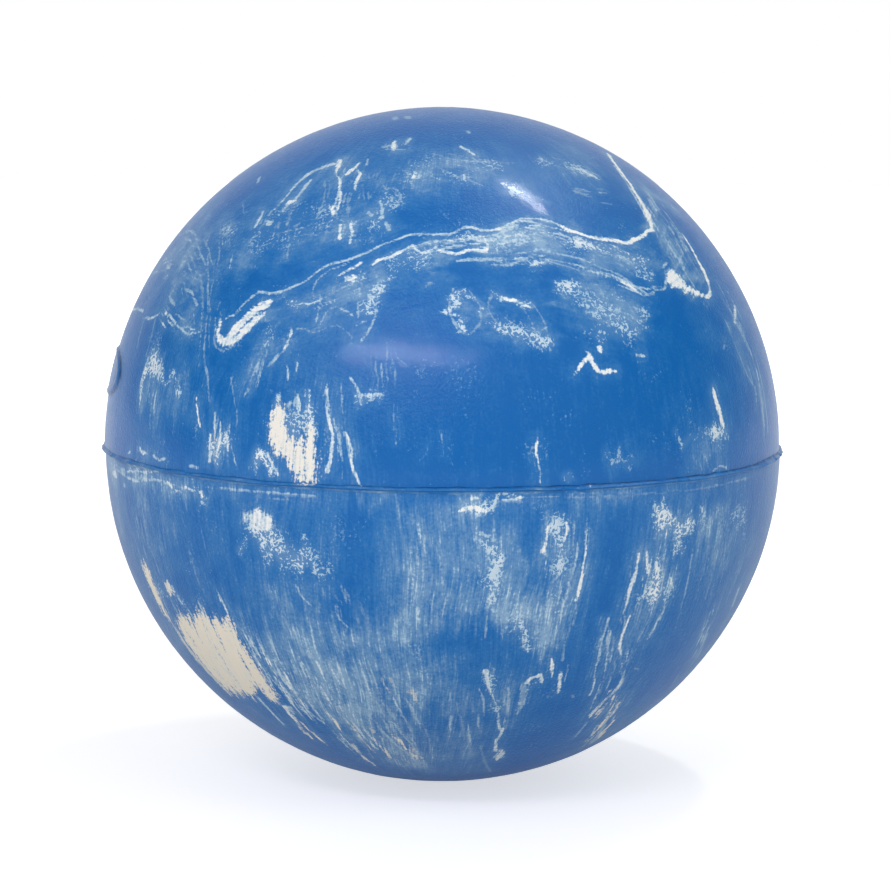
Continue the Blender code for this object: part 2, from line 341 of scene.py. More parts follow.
UPPER_LACE = (
    # the band between the front line and the lines below it
    (2.6, 0.55, ((-9, 36), (-6, 37), (-3.5, 36.5))),
    (1.6, 0.62, ((-13.5, 27), (-12.5, 29.5), (-11, 32), (-9.5, 33.5, 0.7))),
    (1.6, 0.45, ((-20, 31), (-17.5, 31), (-16, 33))),
    (1.3, 0.70, ((-28.5, 28.5), (-28, 28))),
    (1.4, 0.55, ((-26, 28.5), (-25, 28.5))),
    (1.5, 0.50, ((-31, 25), (-30, 23.5), (-30, 21.5, 0.7))),
    (1.8, 0.50, ((10.5, 39.5), (14, 41), (18, 42), (22, 41), (26, 40), (29, 39.5))),
    (1.4, 0.70, ((30, 40, 0.8), (33, 39), (36, 38.5), (40, 37.5), (44, 36))),
    (1.6, 0.55, ((37, 36.5), (41, 34.5), (43.5, 33))),
    (1.0, 0.55, ((2, 40), (5, 41), (8, 40.5))),
    (0.8, 0.60, ((18, 36.5), (21, 36.5))),
    # patches below the band
    (1.0, 0.70, ((3, 31), (2, 29), (3, 26.5), (4.5, 25))),
    (0.9, 0.64, ((4.5, 31), (6.5, 29.5), (6.5, 27.5))),
    (1.0, 0.55, ((10, 31), (13, 30), (16, 29))),
    (1.5, 0.66, ((8.5, 26.5, 0.6), (10.5, 25), (13.5, 24.5), (16, 23.5), (18.5, 22.5, 0.7))),
    (1.3, 0.75, ((22, 32), (23.5, 32))),
    (2.2, 0.50, ((24, 30.5), (28, 30.5), (33, 30))),
    (3.0, 0.60, ((27.5, 27), (31, 27), (35, 26.5))),
    (1.8, 0.48, ((28.5, 24), (32, 24), (38, 26.5, 0.8))),
    # low down, near the parting line
    (2.2, 0.76, ((-58.5, 17.5), (-56.5, 15.5))),
    (1.1, 0.80, ((-60, 15), (-60, 11.5))),
    (1.3, 0.66, ((-53.5, 15.5), (-50, 15), (-48, 14))),
    (1.3, 0.45, ((-58, 11), (-55.5, 9))),
    (1.2, 0.60, ((-14, 16, 0.8), (-13, 14.5), (-10, 14.5, 0.7))),
    (1.9, 0.92, ((-29.5, 3), (-28, 3))),
    (1.2, 0.78, ((-26.5, 14, 0.6), (-26, 12))),
    (1.8, 0.70, ((-24, 10.5), (-23, 8))),
    (1.2, 0.78, ((-21.5, 13.5, 0.5), (-21, 11), (-20.5, 9))),
    (2.1, 0.76, ((-38.5, 5.5), (-37.5, 4), (-36.5, 5.5))),
    (1.4, 0.55, ((40.5, 8, 0.6), (42.5, 7), (46, 7, 0.8), (49.5, 7.5))),
    (1.8, 0.55, ((50, 7), (52, 5.5))),
    (1.0, 0.50, ((20, 1.5), (19.5, 1))),
    (1.4, 0.40, ((27, 4.5), (31, 4.5))),
    # the crown
    (2.2, 0.50, ((-54.5, 41), (-52, 41))),
    (3.5, 0.30, ((-45, 41), (-38, 44), (-31, 46), (-24, 45))),
    (3.0, 0.28, ((-40, 39), (-32, 40), (-25, 41), (-17, 44))),
    (2.5, 0.28, ((-10, 50), (-8, 56), (-3, 60))),
    (2.2, 0.50, ((-13.5, 47), (-13, 44), (-14.5, 50, 0.6))),
    (3.0, 0.42, ((-6, 57), (0, 56), (5, 54.5), (12, 56))),
    (2.0, 0.48, ((33, 59), (40, 58), (45, 55.5))),
    (1.6, 0.45, ((16, 57.5), (20, 56))),
    # this streak is partly the rubber's streaks and partly a painted highlight, the glint
    (1.5, 0.62, ((16.5, 52.5), (20, 51), (23, 50), (26, 48.5, 0.6))),
    (1.8, 0.45, ((-20, 64), (-16, 65))),
)

UPPER_MILK = (
    (4.0, 0.34, ((-12, 34), (-6, 36.5), (-2, 36.5))),
    (3.2, 0.26, ((-30, 27), (-25, 27.5), (-20, 29.5), (-16, 31))),
    (3.2, 0.40, ((10, 39.5), (16, 41), (22, 41), (28, 39), (34, 38), (41, 36.5), (46, 36))),
    (2.0, 0.40, ((3, 29), (6, 28))),
    (4.0, 0.42, ((25, 30), (30, 28), (36, 26.5))),
    (2.5, 0.32, ((10, 25), (17, 24))),
    (4.5, 0.16, ((-60, 30), (-55, 27.5), (-50, 25))),
    (3.5, 0.20, ((-66, 37), (-58, 33), (-52, 30))),
    (3.0, 0.42, ((56, 43), (55, 38), (57, 33))),
    (3.0, 0.18, ((62, 24), (64, 17), (70, 10))),
    (3.5, 0.35, ((-57, 15), (-54, 11), (-47, 12))),
    (2.4, 0.28, ((-39.5, 7), (-37, 4))),
    (2.5, 0.32, ((-33, 14), (-31, 19), (-30, 23))),
    (6.0, 0.22, ((-50, 42), (-40, 46), (-30, 50), (-20, 50), (-8, 52))),
    (4.0, 0.28, ((-44, 36), (-34, 38), (-24, 41), (-14, 45))),
    (6.0, 0.22, ((-45, 52), (-32, 58), (-12, 60), (8, 60))),
    (4.0, 0.30, ((34, 57), (44, 56), (52, 62))),
    (5.0, 0.26, ((-2, 56), (8, 55), (18, 53))),
    (3.0, 0.30, ((62, 52), (68, 50), (70, 46))),
    (5.0, 0.28, ((-80, 33), (-72, 33), (-66, 31))),
    (4.0, 0.30, ((-80, 43), (-70, 43), (-58, 41))),
    (3.0, 0.30, ((48, 5), (52, 6), (44, 3))),
    (2.0, 0.20, ((27, 4), (31, 5))),
)

LOWER_LINES = (
    # just under the parting line
    (0.50, 1.00, ((2.5, -3, 0.5), (4.5, -2.5), (6.5, -3))),
    (0.28, 0.80, ((8.5, -1.5), (10, -1.5), (12, -1))),
    (0.30, 0.80, ((4.5, -1), (5.5, -1))),
    (0.32, 0.90, ((-49.5, -2), (-48.5, -2.5))),
    (0.30, 0.85, ((-47.5, -3), (-46, -3))),
    (0.32, 0.85, ((-44.5, -2), (-43, -2.5))),
    (0.38, 0.95, ((-41.5, -2.5), (-41, -3))),
    (0.20, 0.75, ((-64, -1.5), (-60, -1), (-56, -1), (-52, -0.5))),
    (0.18, 0.60, ((-40, -1.5), (-34, -1.5), (-26, -1.5), (-20, -1.5))),
    (0.16, 0.50, ((12, -1), (18, -1), (24, -1.5), (31, -1))),
    (0.80, 0.80, ((-72, -3, 0.8), (-70, -3))),
    (0.40, 0.55, ((-65.5, -4), (-65, -4))),
    # columns right of centre
    (0.50, 0.80, ((6, -6.5), (7, -7))),
    (0.40, 0.90, ((17.5, -4.5, 0.6), (16.5, -6), (16.5, -7.5, 0.5), (16, -9.5, 1.1))),
    (0.42, 1.00, ((19.5, -5), (20, -6), (19.5, -8, 0.6))),
    (0.28, 0.95, ((23, -4.5, 0.7), (23, -8), (23, -12), (23, -15.5, 1.3), (22.5, -18))),
    (0.22, 0.50, ((23, -19), (23, -22.5), (22.5, -25), (22.5, -29.5, 1.5))),
    (0.26, 0.60, ((19, -10.5), (18.5, -14.5))),
    (0.16, 0.55, ((21, -5), (21, -9.5))),
    (0.42, 0.92, ((33, -11, 0.6), (33, -14), (32.5, -17), (32.5, -19.5), (32.5, -21, 0.6))),
    (0.16, 0.65, ((32, -13), (32, -17), (31.5, -20.5))),
    (0.45, 1.00, ((34.5, -10.5, 0.6), (35, -12.5), (35.5, -14.5, 0.6))),
    (0.22, 0.80, ((34.5, -15), (35, -17))),
    (0.40, 0.90, ((34, -22, 0.6), (33.5, -24.5), (33.5, -27.5), (35, -30, 0.5))),
    (0.20, 0.40, ((35, -30.5), (36.5, -33), (38, -35))),
    (0.30, 0.70, ((29.5, -22), (29.5, -26), (30, -30), (30.5, -33, 0.7), (31.5, -36, 0.7), (32, -38.5))),
    (0.18, 0.38, ((31.5, -28), (32.5, -32), (34.5, -38.5))),
    (0.30, 0.52, ((38.5, -23.5), (38, -25.5), (37.5, -27.5))),
    (0.32, 0.64, ((41, -23, 0.7), (40.5, -26), (40, -27.5))),
    (0.25, 0.45, ((40.5, -33.5), (42, -34))),
    (0.50, 0.72, ((38.5, -35.5, 0.7), (38.5, -38), (37.5, -40.5), (36, -44, 0.7))),
    # patches just below the parting line
    (1.7, 0.92, ((-31.5, -6, 0.8), (-30, -6), (-28.5, -6.5, 0.9))),
    (0.40, 0.62, ((36, -5), (37, -5, 0.8), (38, -5, 0.6))),
    (0.50, 0.80, ((42, -7.5), (43.5, -8, 0.7))),
    (0.22, 0.85, ((38.5, -5), (40, -6.5), (41, -7))),
    (0.30, 0.80, ((43, -6.5), (44, -8.5, 0.6))),
    (0.30, 0.75, ((46, -5), (46.5, -5.5))),
    (0.22, 0.50, ((46.5, -7), (48.5, -9, 1.5))),
    (0.30, 0.80, ((41, -16, 0.8), (42, -17.5), (43, -19, 0.5))),
    # towards the bottom
    (0.36, 0.82, ((8.5, -31, 1.3), (9, -33.5), (10, -36.5, 0.6), (11.5, -40, 0.6), (13, -44, 0.8),
        (14, -46))),
    (0.34, 0.84, ((14.5, -45.5), (14, -49.5), (15, -53))),
    (0.85, 0.88, ((16.5, -53, 0.5), (17, -55.5), (17, -57, 0.3))),
    (0.42, 0.84, ((16, -34.5, 0.8), (17.5, -33), (19, -32.5), (19.5, -34, 0.6))),
    (0.60, 0.58, ((16, -35), (16.5, -38), (16.5, -41.5, 0.6))),
    (0.32, 0.60, ((13, -35), (13.5, -38), (14, -41.5))),
    (0.34, 0.90, ((20.5, -29, 0.5), (21, -31), (21.5, -33, 0.5))),
    (0.40, 0.95, ((23, -32, 0.4), (23.5, -34.5), (24, -37, 0.6))),
    (0.20, 0.55, ((24, -30.5), (24.5, -34.5))),
    (0.30, 0.40, ((27.5, -38), (28, -38.5))),
    (0.55, 0.60, ((-10.5, -40), (-10, -42.5))),
    (0.28, 0.65, ((-9, -33), (-8.5, -35.5), (-8, -38))),
    (0.24, 0.55, ((-6.5, -38.5), (-5.5, -42.5))),
    (0.20, 0.60, ((-17.5, -19), (-17.5, -20.5), (-16.5, -22), (-15.5, -23))),
    (0.22, 0.60, ((-24.5, -16.5), (-23.5, -18), (-22, -19.5))),
    (0.24, 0.55, ((-29, -17), (-28, -19), (-27, -20))),
    (0.20, 0.42, ((-14, -21), (-13, -24.5))),
    (0.30, 0.50, ((-27.5, -20.5), (-27.5, -23), (-26.5, -25))),
    (0.30, 0.50, ((-6, -31), (-5.5, -32.5))),
    # streaks beside the big cream patch
    (0.28, 0.70, ((-36.5, -27), (-37, -31), (-36.5, -34), (-36.5, -37))),
    (0.22, 0.60, ((-34.5, -26), (-35, -30))),
    (0.32, 0.75, ((-32.5, -31), (-32.5, -34), (-31, -37.5), (-30, -42))),
    (0.22, 0.60, ((-33.5, -30), (-33.5, -36), (-32, -40.5))),
    (0.24, 0.60, ((-30, -34), (-29.5, -39), (-28, -44))),
    (0.40, 0.85, ((-41, -19, 0.5), (-40.5, -21), (-40, -23, 0.7))),
    (0.32, 0.70, ((-47, -22), (-46.5, -25))),
    (0.35, 0.75, ((-51, -23.5), (-50.5, -25.5))),
    (0.36, 0.70, ((-43.5, -41.5), (-43, -45), (-42.5, -48.5, 0.6))),
    (0.52, 0.98, ((-36.5, -42.5), (-36.5, -46.5, 0.8), (-37, -50.5, 0.6))),
    (0.70, 0.75, ((-35.5, -42.5), (-35, -44, 0.6))),
    (0.28, 0.70, ((-31.5, -39.5), (-30, -43), (-28, -46))),
    (0.34, 0.75, ((-20, -45), (-19, -48.5), (-17.5, -53))),
    (0.26, 0.60, ((-10.5, -44), (-9, -48), (-7, -52), (-6.5, -56.5))),
    (0.30, 0.66, ((-14, -46), (-12, -50), (-9.5, -54), (-7.5, -57))),
    (0.26, 0.45, ((-21.5, -44), (-20.5, -50), (-21, -57))),
    (0.26, 0.45, ((-4, -44), (-3, -49), (-2.5, -55))),
    (0.60, 0.62, ((42, -44.5, 0.7), (45, -48.5), (48, -52), (50.5, -55.5, 0.7))),
    (0.30, 0.50, ((37, -46), (37.5, -50.5))),
    (0.30, 0.42, ((10, -51), (14, -58), (19, -64))),
    (0.35, 0.50, ((57, -24.5), (58, -27.5))),
    (0.40, 0.50, ((61, -29), (62, -31.5), (63, -34.5))),
    (0.60, 0.60, ((67, -21.5), (68, -24.5))),
    (0.25, 0.40, ((-57.5, -6), (-58, -11), (-57.5, -15.5))),
    (0.25, 0.38, ((-52, -8), (-52.5, -13))),
)

LOWER_CREAM = (
    # the big patch at the lower left, in strokes that run down the ball
    (2.0, 1.00, ((-57, -28.5, 0.7), (-56.5, -32), (-55, -36), (-53.5, -39.5, 0.8), (-52.5, -41.5, 0.5))),
    (2.5, 1.00, ((-53.5, -28), (-52.5, -33), (-51, -37), (-50, -39, 0.8))),
    (2.6, 1.00, ((-50.5, -27), (-49, -32), (-48, -36.5), (-47.5, -38.5, 0.8))),
    (2.6, 1.00, ((-47, -27.5), (-46, -32), (-45, -36.5), (-45, -38.5, 0.7))),
    (2.4, 1.00, ((-43.5, -26.5), (-43, -31), (-42.5, -35.5), (-42, -38, 0.7))),
    (1.6, 1.00, ((-41, -24, 0.7), (-41, -27.5), (-40, -32), (-39, -36), (-38.5, -39.5, 0.7))),
    (1.5, 0.95, ((-63, -18.5, 0.7), (-62.5, -21), (-62, -23.5), (-61.5, -26.5, 0.7))),
    (0.9, 0.60, ((-60.5, -28, 0.6), (-59.5, -32), (-58, -36.5), (-56, -41))),
    (0.8, 0.80, ((-55.5, -20), (-55, -21.5))),
)

LOWER_LACE = (
    # patches just below the parting line
    (2.4, 0.66, ((-30.5, -8), (-28.5, -8.5), (-27, -9.5))),
    (3.0, 0.66, ((-29.5, -11), (-26.5, -11.5), (-24, -12))),
    (2.2, 0.62, ((-23, -11.5), (-20.5, -12.5), (-18.5, -13.5, 0.6))),
    (0.9, 0.62, ((-34.5, -11.5), (-33.5, -10))),
    (0.9, 0.50, ((-22, -8.5), (-20.5, -9.5))),
    (0.9, 0.60, ((4, -2), (7.5, -1.5), (11, -1.5))),
    (1.3, 0.62, ((6.5, -7), (8.5, -9.5), (8, -11.5), (7.5, -14.5), (8.5, -18))),
    (1.0, 0.52, ((9.5, -10.5), (9, -15.5))),
    (1.7, 0.60, ((17.5, -5.5), (18.5, -9), (19, -13.5))),
    (1.5, 0.55, ((18.5, -17), (19.5, -20.5))),
    (1.9, 0.68, ((12.5, -20), (13.5, -22.5), (15.5, -25.5, 0.7))),
    (1.5, 0.82, ((36.5, -4), (36.5, -7), (36, -9, 0.6))),
    (1.8, 0.80, ((38.5, -6.5), (41.5, -7.5), (43.5, -7))),
    (1.7, 0.66, ((41, -10.5), (42.5, -11))),
    (1.6, 0.86, ((37.5, -13.5, 0.6), (38, -16.5), (38.5, -19.5))),
    (1.2, 0.62, ((35.5, -18.5), (37, -18.5))),
    (1.3, 0.55, ((41, -17.5), (41, -20.5))),
    (1.4, 0.45, ((46.5, -6.5), (49, -8.5), (52, -9))),
    (2.0, 0.42, ((56, -8), (60, -9))),
    (1.8, 0.48, ((-48, -2.5), (-44, -2), (-41.5, -3))),
    (1.2, 0.45, ((-62, -1.5), (-56, -1.5))),
    (1.6, 0.52, ((-58.5, -21.5), (-55, -21), (-52.5, -22))),
    (1.8, 0.36, ((-50, -16), (-47, -16.5))),
    (2.0, 0.38, ((-5, -24), (-4.5, -28))),
    (1.5, 0.46, ((9.5, -32), (10.5, -36), (12, -40))),
    (1.1, 0.46, ((18, -34), (16.5, -37), (16, -41))),
)

LOWER_MILK = (
    # the broad light stretches between the deep columns
    (7.0, 0.55, ((-24, -27), (-17, -27.5), (-9, -27), (-4, -27.5))),
    (6.0, 0.54, ((-24, -36), (-16, -38), (-8, -37))),
    (6.0, 0.50, ((-17, -46), (-11, -52), (-9, -58))),
    (4.0, 0.24, ((3, -38), (5, -46), (8, -55), (12, -62))),
    (4.0, 0.50, ((-3.5, -8), (-4, -16), (-4, -23))),
    (3.2, 0.42, ((3.5, -5), (3.5, -13), (4, -21))),
    (3.0, 0.56, ((8, -9), (9, -16), (11, -22))),
    (2.6, 0.34, ((13, -12), (13, -18))),
    (3.6, 0.62, ((13, -19), (17, -20), (18.5, -23.5))),
    (2.4, 0.52, ((18, -6), (19, -13))),
    (3.0, 0.40, ((38, -16), (41, -18))),
    (3.0, 0.38, ((39, -8), (47, -8), (54, -9))),
    (6.0, 0.20, ((50, -12), (56, -12), (62, -14))),
    (5.0, 0.22, ((40, -42), (46, -44), (50, -50))),
    (1.8, 0.28, ((11, -33), (13, -38), (15, -44))),
    (4.0, 0.40, ((-30, -33), (-28, -38), (-27, -43))),
    (3.0, 0.34, ((-36, -24), (-34, -28))),
    (5.0, 0.20, ((-62, -10), (-62, -20), (-60, -34))),
    (4.0, 0.30, ((-72, -3), (-70, -14))),
    (3.0, 0.26, ((-57, -8), (-54, -16))),
    (1.8, 0.34, ((-60, -2), (-48, -2.5), (-40, -2))),
    (3.0, 0.34, ((-4, -3), (-1, -4), (3, -3))),
    (2.0, 0.30, ((-12, -2), (-5, -2))),
    (2.4, 0.30, ((22, -2), (27, -1.5), (30, -2.5))),
)

UPPER_CLEAR = (
    # deep blue stretches that the milk leaves alone
    (5.0, 0.75, ((-4, 10), (6, 10), (16, 10), (26, 11), (38, 13))),
    (3.0, 0.55, ((-8, 20), (2, 20))),
    (3.5, 0.55, ((22, 13), (34, 16), (45, 15))),
    (2.5, 0.60, ((-10, 46), (5, 47), (20, 49), (34, 47), (44, 46))),
    (1.2, 0.75, ((0, 35), (12, 35), (24, 34))),
)

LOWER_CLEAR = (
    (3.0, 0.80, ((28.5, -4), (28.5, -12), (28, -21))),
    (6.0, 0.75, ((24, -32), (27, -42), (26, -54), (26, -62))),
    (3.0, 0.60, ((0, -24.5), (4, -26), (8, -27.5))),
    (3.0, 0.65, ((-13, -5), (-13, -11), (-15, -17))),
    (1.2, 0.70, ((-17.5, -17), (-15.5, -23))),
    (3.0, 0.50, ((-42, -6), (-42, -12), (-40, -16))),
    (4.0, 0.40, ((-30, -47), (-29, -56))),
    (4.0, 0.35, ((45, -14), (46, -24), (45, -34))),
    (2.5, 0.60, ((-35, -6), (-34, -14))),
)


# Bundles of fine strands: how many, half width, whiteness, how far they spread either side of the middle
# line, and that line's points
UPPER_BUNDLES = (
    # the band, along its length
    (25, 0.20, 0.55, 1.8, ((-12, 37), (-4, 39), (6, 40), (14, 41.5), (22, 42.5), (32, 39.5), (44, 37))),
    (22, 0.18, 0.50, 1.2, ((0, 36.5), (12, 37), (22, 37.5), (32, 34.5), (40, 31), (46, 31))),
    (14, 0.20, 0.50, 2.5, ((-30, 28), (-24, 28.5), (-18, 31), (-12, 35))),
    # the fold at the right
    (20, 0.24, 0.45, 3.0, ((55, 31), (55.5, 36), (56, 41), (58, 47), (63, 53))),
    (11, 0.24, 0.45, 2.5, ((60, 34), (61, 40), (63, 47), (68, 53))),
    # the swirl at the left
    (18, 0.20, 0.42, 2.6, ((-76, 39), (-66, 38), (-58, 35), (-51, 31), (-46, 25), (-43, 17))),
    (10, 0.18, 0.40, 2.6, ((-66, 33), (-58, 31), (-52, 27), (-48, 22))),
    (15, 0.20, 0.57, 1.8, ((-62, 26), (-56, 24), (-47, 22.5))),
    (15, 0.20, 0.50, 2.2, ((-80, 31), (-72, 33), (-64, 33))),
    (12, 0.22, 0.38, 3.0, ((-62, 46), (-54, 42), (-48, 36), (-45, 30))),
    # streaks that run down to the parting line
    (20, 0.26, 0.50, 3.0, ((-58, 21), (-57, 14), (-56, 6))),
    (6, 0.20, 0.26, 3.0, ((-50, 17), (-48, 10), (-48, 3))),
    (14, 0.20, 0.50, 2.0, ((-37.5, 11), (-37.5, 6), (-37.5, 1.5))),
    (14, 0.18, 0.42, 2.0, ((-30.5, 24), (-31.5, 17), (-33, 11))),
    (11, 0.24, 0.55, 2.0, ((-25, 19), (-24, 14), (-23, 9))),
    (11, 0.20, 0.55, 1.8, ((-18.5, 17), (-17, 9), (-15.5, 1))),
    (8, 0.18, 0.35, 3.0, ((-9, 24), (-8, 16), (-8, 9))),
    (11, 0.20, 0.40, 4.0, ((44, 10), (46, 6), (48, 1.5))),
    (17, 0.26, 0.40, 5.0, ((66, 32), (69, 18), (69, 3))),
    # the crown
    (8, 0.20, 0.34, 2.5, ((-46, 38), (-38, 42), (-28, 44), (-18, 46))),
    (12, 0.22, 0.34, 5.0, ((-40, 48), (-38, 43), (-36, 38))),
    (12, 0.22, 0.36, 4.5, ((-26, 51), (-25, 45), (-23, 39))),
    (6, 0.20, 0.34, 3.5, ((-14, 62), (-12, 55), (-12, 49))),
    (10, 0.26, 0.40, 4.0, ((-2, 60), (4, 57), (12, 53))),
    (8, 0.26, 0.38, 2.5, ((28, 52), (38, 50), (46, 49))),
    (8, 0.20, 0.36, 2.5, ((-33, 59), (-30, 55), (-28, 50), (-27, 45))),
    (8, 0.20, 0.34, 2.5, ((-20, 57), (-16, 51), (-14, 44))),
    (6, 0.20, 0.32, 3.0, ((-44, 42), (-42, 47), (-40, 52))),
    (14, 0.24, 0.40, 2.5, ((-30, 62), (-10, 62), (8, 59), (24, 58))),
    (14, 0.26, 0.42, 2.0, ((30, 60), (42, 57.5), (50, 54))),
    (11, 0.24, 0.38, 3.0, ((-8, 59), (0, 55), (10, 54))),
)

LOWER_BUNDLES = (
    # the columns below the parting line
    (17, 0.24, 0.40, 4.0, ((-3, -3), (-3.5, -14), (-4, -28))),
    (16, 0.20, 0.45, 2.6, ((8, -5), (8.5, -14), (10, -25))),
    (17, 0.20, 0.48, 2.4, ((18, -3), (18.5, -12), (19, -23))),
    (10, 0.16, 0.50, 0.8, ((21, -4), (21, -14), (20.5, -23))),
    (17, 0.24, 0.45, 2.4, ((14, -17), (15, -22), (16, -27))),
    (20, 0.24, 0.50, 4.0, ((38, -4), (38, -14), (37, -26))),
    (17, 0.26, 0.32, 6.0, ((50, -4), (52, -16), (54, -30))),
    (17, 0.26, 0.32, 5.0, ((-62, -5), (-61, -16), (-58, -30))),
    (8, 0.20, 0.24, 6.0, ((-46, -5), (-45, -14), (-43, -22))),
    (14, 0.24, 0.32, 4.0, ((-18, -15), (-17, -20), (-15, -28))),
    # the fan at the bottom
    (22, 0.28, 0.60, 3.5, ((-36, -24), (-34, -34), (-31, -46))),
    (25, 0.26, 0.55, 6.0, ((-26, -28), (-23, -42), (-18, -60))),
    (24, 0.24, 0.50, 5.0, ((-14, -28), (-11, -42), (-8, -62))),
    (12, 0.22, 0.38, 4.0, ((2, -32), (4, -44), (8, -60))),
    (8, 0.20, 0.36, 2.0, ((10, -32), (13, -40), (15, -52))),
    (17, 0.26, 0.50, 3.0, ((31, -20), (33, -30), (37, -42))),
    (14, 0.26, 0.45, 2.5, ((40, -38), (44, -47), (50, -57))),
    (11, 0.28, 0.45, 3.0, ((57, -22), (61, -32), (66, -42))),
    # the parting line's ragged edges
    (14, 0.20, 0.50, 0.8, ((-78, -2), (-60, -2), (-40, -2))),
    (5, 0.18, 0.35, 0.6, ((-42, -2), (-25, -2), (-8, -2))),
    (6, 0.16, 0.35, 0.8, ((-2, -1.5), (16, -1.5), (34, -1.5))),
    (6, 0.18, 0.35, 0.6, ((30, -1.5), (50, -1.5), (70, -1.5))),
)

LOWER_CREAM_BUNDLES = (
    (12, 0.30, 0.54, 5.0, ((-21, -40), (-17, -50), (-13, -61))),
    (3, 0.26, 0.42, 3.0, ((-12, -30), (-9, -38), (-8, -45))),
    (6, 0.35, 0.65, 2.0, ((-38, -40), (-37, -46), (-35, -52))),
    (8, 0.40, 0.65, 1.6, ((41, -40), (44, -47), (50, -57))),
    (6, 0.30, 0.60, 1.6, ((39, -34), (37, -40), (36, -46))),
)


# How a strand is drawn: where along its bundle it starts and how long it is, as shares of the bundle's
# length, how much it wobbles in degrees, its width two thirds of the way along, and its tone
STRAND_POINTS = 4
STRAND_STARTS = (0, 0.75)
STRAND_LENGTHS = (0.12, 0.35)
STRAND_WOBBLE = 0.12
STRAND_WIDTHS = (0.6, 1.2)
STRAND_TONES = (0.9, 1.6)


def strands(bundles, seed):
    """Splits each bundle into short thin marks that follow its middle line at different distances."""
    chance = np.random.default_rng(seed)
    marks = []
    for count, half_width, whiteness, spread, points in bundles:
        line = np.array(points, float)
        along = np.linspace(0, 1, len(line))
        for _ in range(count):
            start = chance.uniform(*STRAND_STARTS)
            end = min(start + chance.uniform(*STRAND_LENGTHS), 1)
            spots = np.linspace(start, end, STRAND_POINTS)
            lon, lat = (np.interp(spots, along, line[:, axis]) for axis in (0, 1))
            squeeze = np.cos(np.radians(lat))
            ahead = np.array([(lon[-1] - lon[0]) * squeeze[0], lat[-1] - lat[0]])
            ahead /= np.linalg.norm(ahead)
            aside = np.clip(0.5 * chance.normal(), -1, 1) * spread
            aside = aside + chance.uniform(-STRAND_WOBBLE, STRAND_WOBBLE, STRAND_POINTS)
            lon = lon - ahead[1] * aside / squeeze
            lat = lat + ahead[0] * aside
            shares = (0.4, 1.0, chance.uniform(*STRAND_WIDTHS), 0.3)
            tone = whiteness * chance.uniform(*STRAND_TONES)
            marks.append((half_width, tone, tuple(zip(lon, lat, shares))))
    return tuple(marks)


# ---------------------------------------------------------------- painting

# A line's or a patch's field is 0.5 at its edge and falls to 0 some degrees outside it, this many more
# than its half width. Its faint halo starts further out.
MARK_REACH = 0.25
HALO_REACH = 2.2
# A soft stroke fades in from this far outside its edge to this far inside it, in half widths
SOFT_OUTSIDE = 0.6
SOFT_INSIDE = 0.9
CURVE_STEP = 1.5  # degrees between the points that a mark's curve is divided into

# The listed marks give way to the far side's between these longitudes, left and right
FRONT_EDGE = 84
BACK_EDGE = 94
# How many degrees marks are pushed about: the whole layout, in front and behind, then the fine wobble
# of lines and of everything else, then how far the ends of patches and of soft strokes fray
FRONT_WANDER = 0.35
BACK_WANDER = 5.0
LINE_WOBBLE = 0.14
WOBBLE = 0.28
PATCH_FRAY = 1.6
SOFT_FRAY = 3.5
LINE_WARMTH = 0.08  # how cream a line is: 1 is a cream patch
HAZE_CHANGE = 0.12  # how much the haze between the marks changes from place to place


def curve_of(points):
    """A mark's points joined by a smooth curve: unit vectors and the width's share at each."""
    full = np.array([(*p, 1.0) if len(p) == 2 else p for p in points], float)
    knots = np.column_stack([directions(full[:, 0], full[:, 1]), full[:, 2]])
    padded = np.vstack([2 * knots[0] - knots[1], knots, 2 * knots[-1] - knots[-2]])
    pieces = []
    for a, b, c, d in zip(padded, padded[1:], padded[2:], padded[3:]):
        span = math.degrees(np.linalg.norm(c[:3] - b[:3]))
        steps = max(1, math.ceil(span / CURVE_STEP))
        for t in np.arange(steps) / steps:
            pieces.append(
                0.5 * (2 * b + (c - a) * t + (2 * a - 5 * b + 4 * c - d) * t**2
                       + (3 * b - a - 3 * c + d) * t**3)
            )
    pieces.append(knots[-1])
    curve = np.array(pieces)
    units = curve[:, :3] / np.linalg.norm(curve[:, :3], axis=1, keepdims=True)
    return units, np.clip(curve[:, 3], 0.05, None)


def inside_mark(units, mark, reach):
    """Indices of the points near a mark, and how many degrees inside its edge each is."""
    half_width, _, points = mark
    curve, shares = curve_of(points)
    middle = curve.mean(axis=0)
    middle /= np.linalg.norm(middle)
    spread = np.linalg.norm(curve - middle, axis=1).max() + math.radians(half_width * 2.5 + reach)
    near = np.flatnonzero(units @ middle > 1 - spread**2 / 2)
    picked = units[near]
    best = np.full(len(near), -1e9)
    for start, end, share_0, share_1 in zip(curve, curve[1:], shares, shares[1:]):
        along = end - start
        t = np.clip((picked - start) @ along / max(along @ along, 1e-12), 0, 1)
        away = np.degrees(np.linalg.norm(picked - start - t[:, None] * along, axis=1))
        best = np.maximum(best, half_width * (share_0 + (share_1 - share_0) * t) - away)
    return near, best


def same(marks):
    return marks


def behind(marks):
    """The same marks turned to the ball's far side, a little spread out and raised."""
    turned = []
    for half_width, strength, points in marks:
        moved = [(180 + p[0] * 1.05, p[1] * 0.94 + 1.5, *p[2:]) for p in points]
        turned.append((half_width, strength, moved))
    return tuple(turned)


def add_solid(fields, units, chosen, marks, warmth, share):
    """Paints lines or patches: the best field at each place wins, and a faint halo surrounds it."""
    for mark in marks:
        half_width, whiteness, _ = mark
        reach = MARK_REACH + half_width
        near, inside = inside_mark(units, mark, reach)
        value = np.clip(0.5 + inside / (2 * reach), 0, 1) * share[near]
        spots = chosen[near]
        halo = smooth(-HALO_REACH, 0.2, inside) * whiteness * share[near]
        fields["halo"][spots] = np.maximum(fields["halo"][spots], halo)
        better = value > fields["solid"][spots]
        spots = spots[better]
        fields["solid"][spots] = value[better]
        fields["tone"][spots] = whiteness
        fields["warm"][spots] = warmth


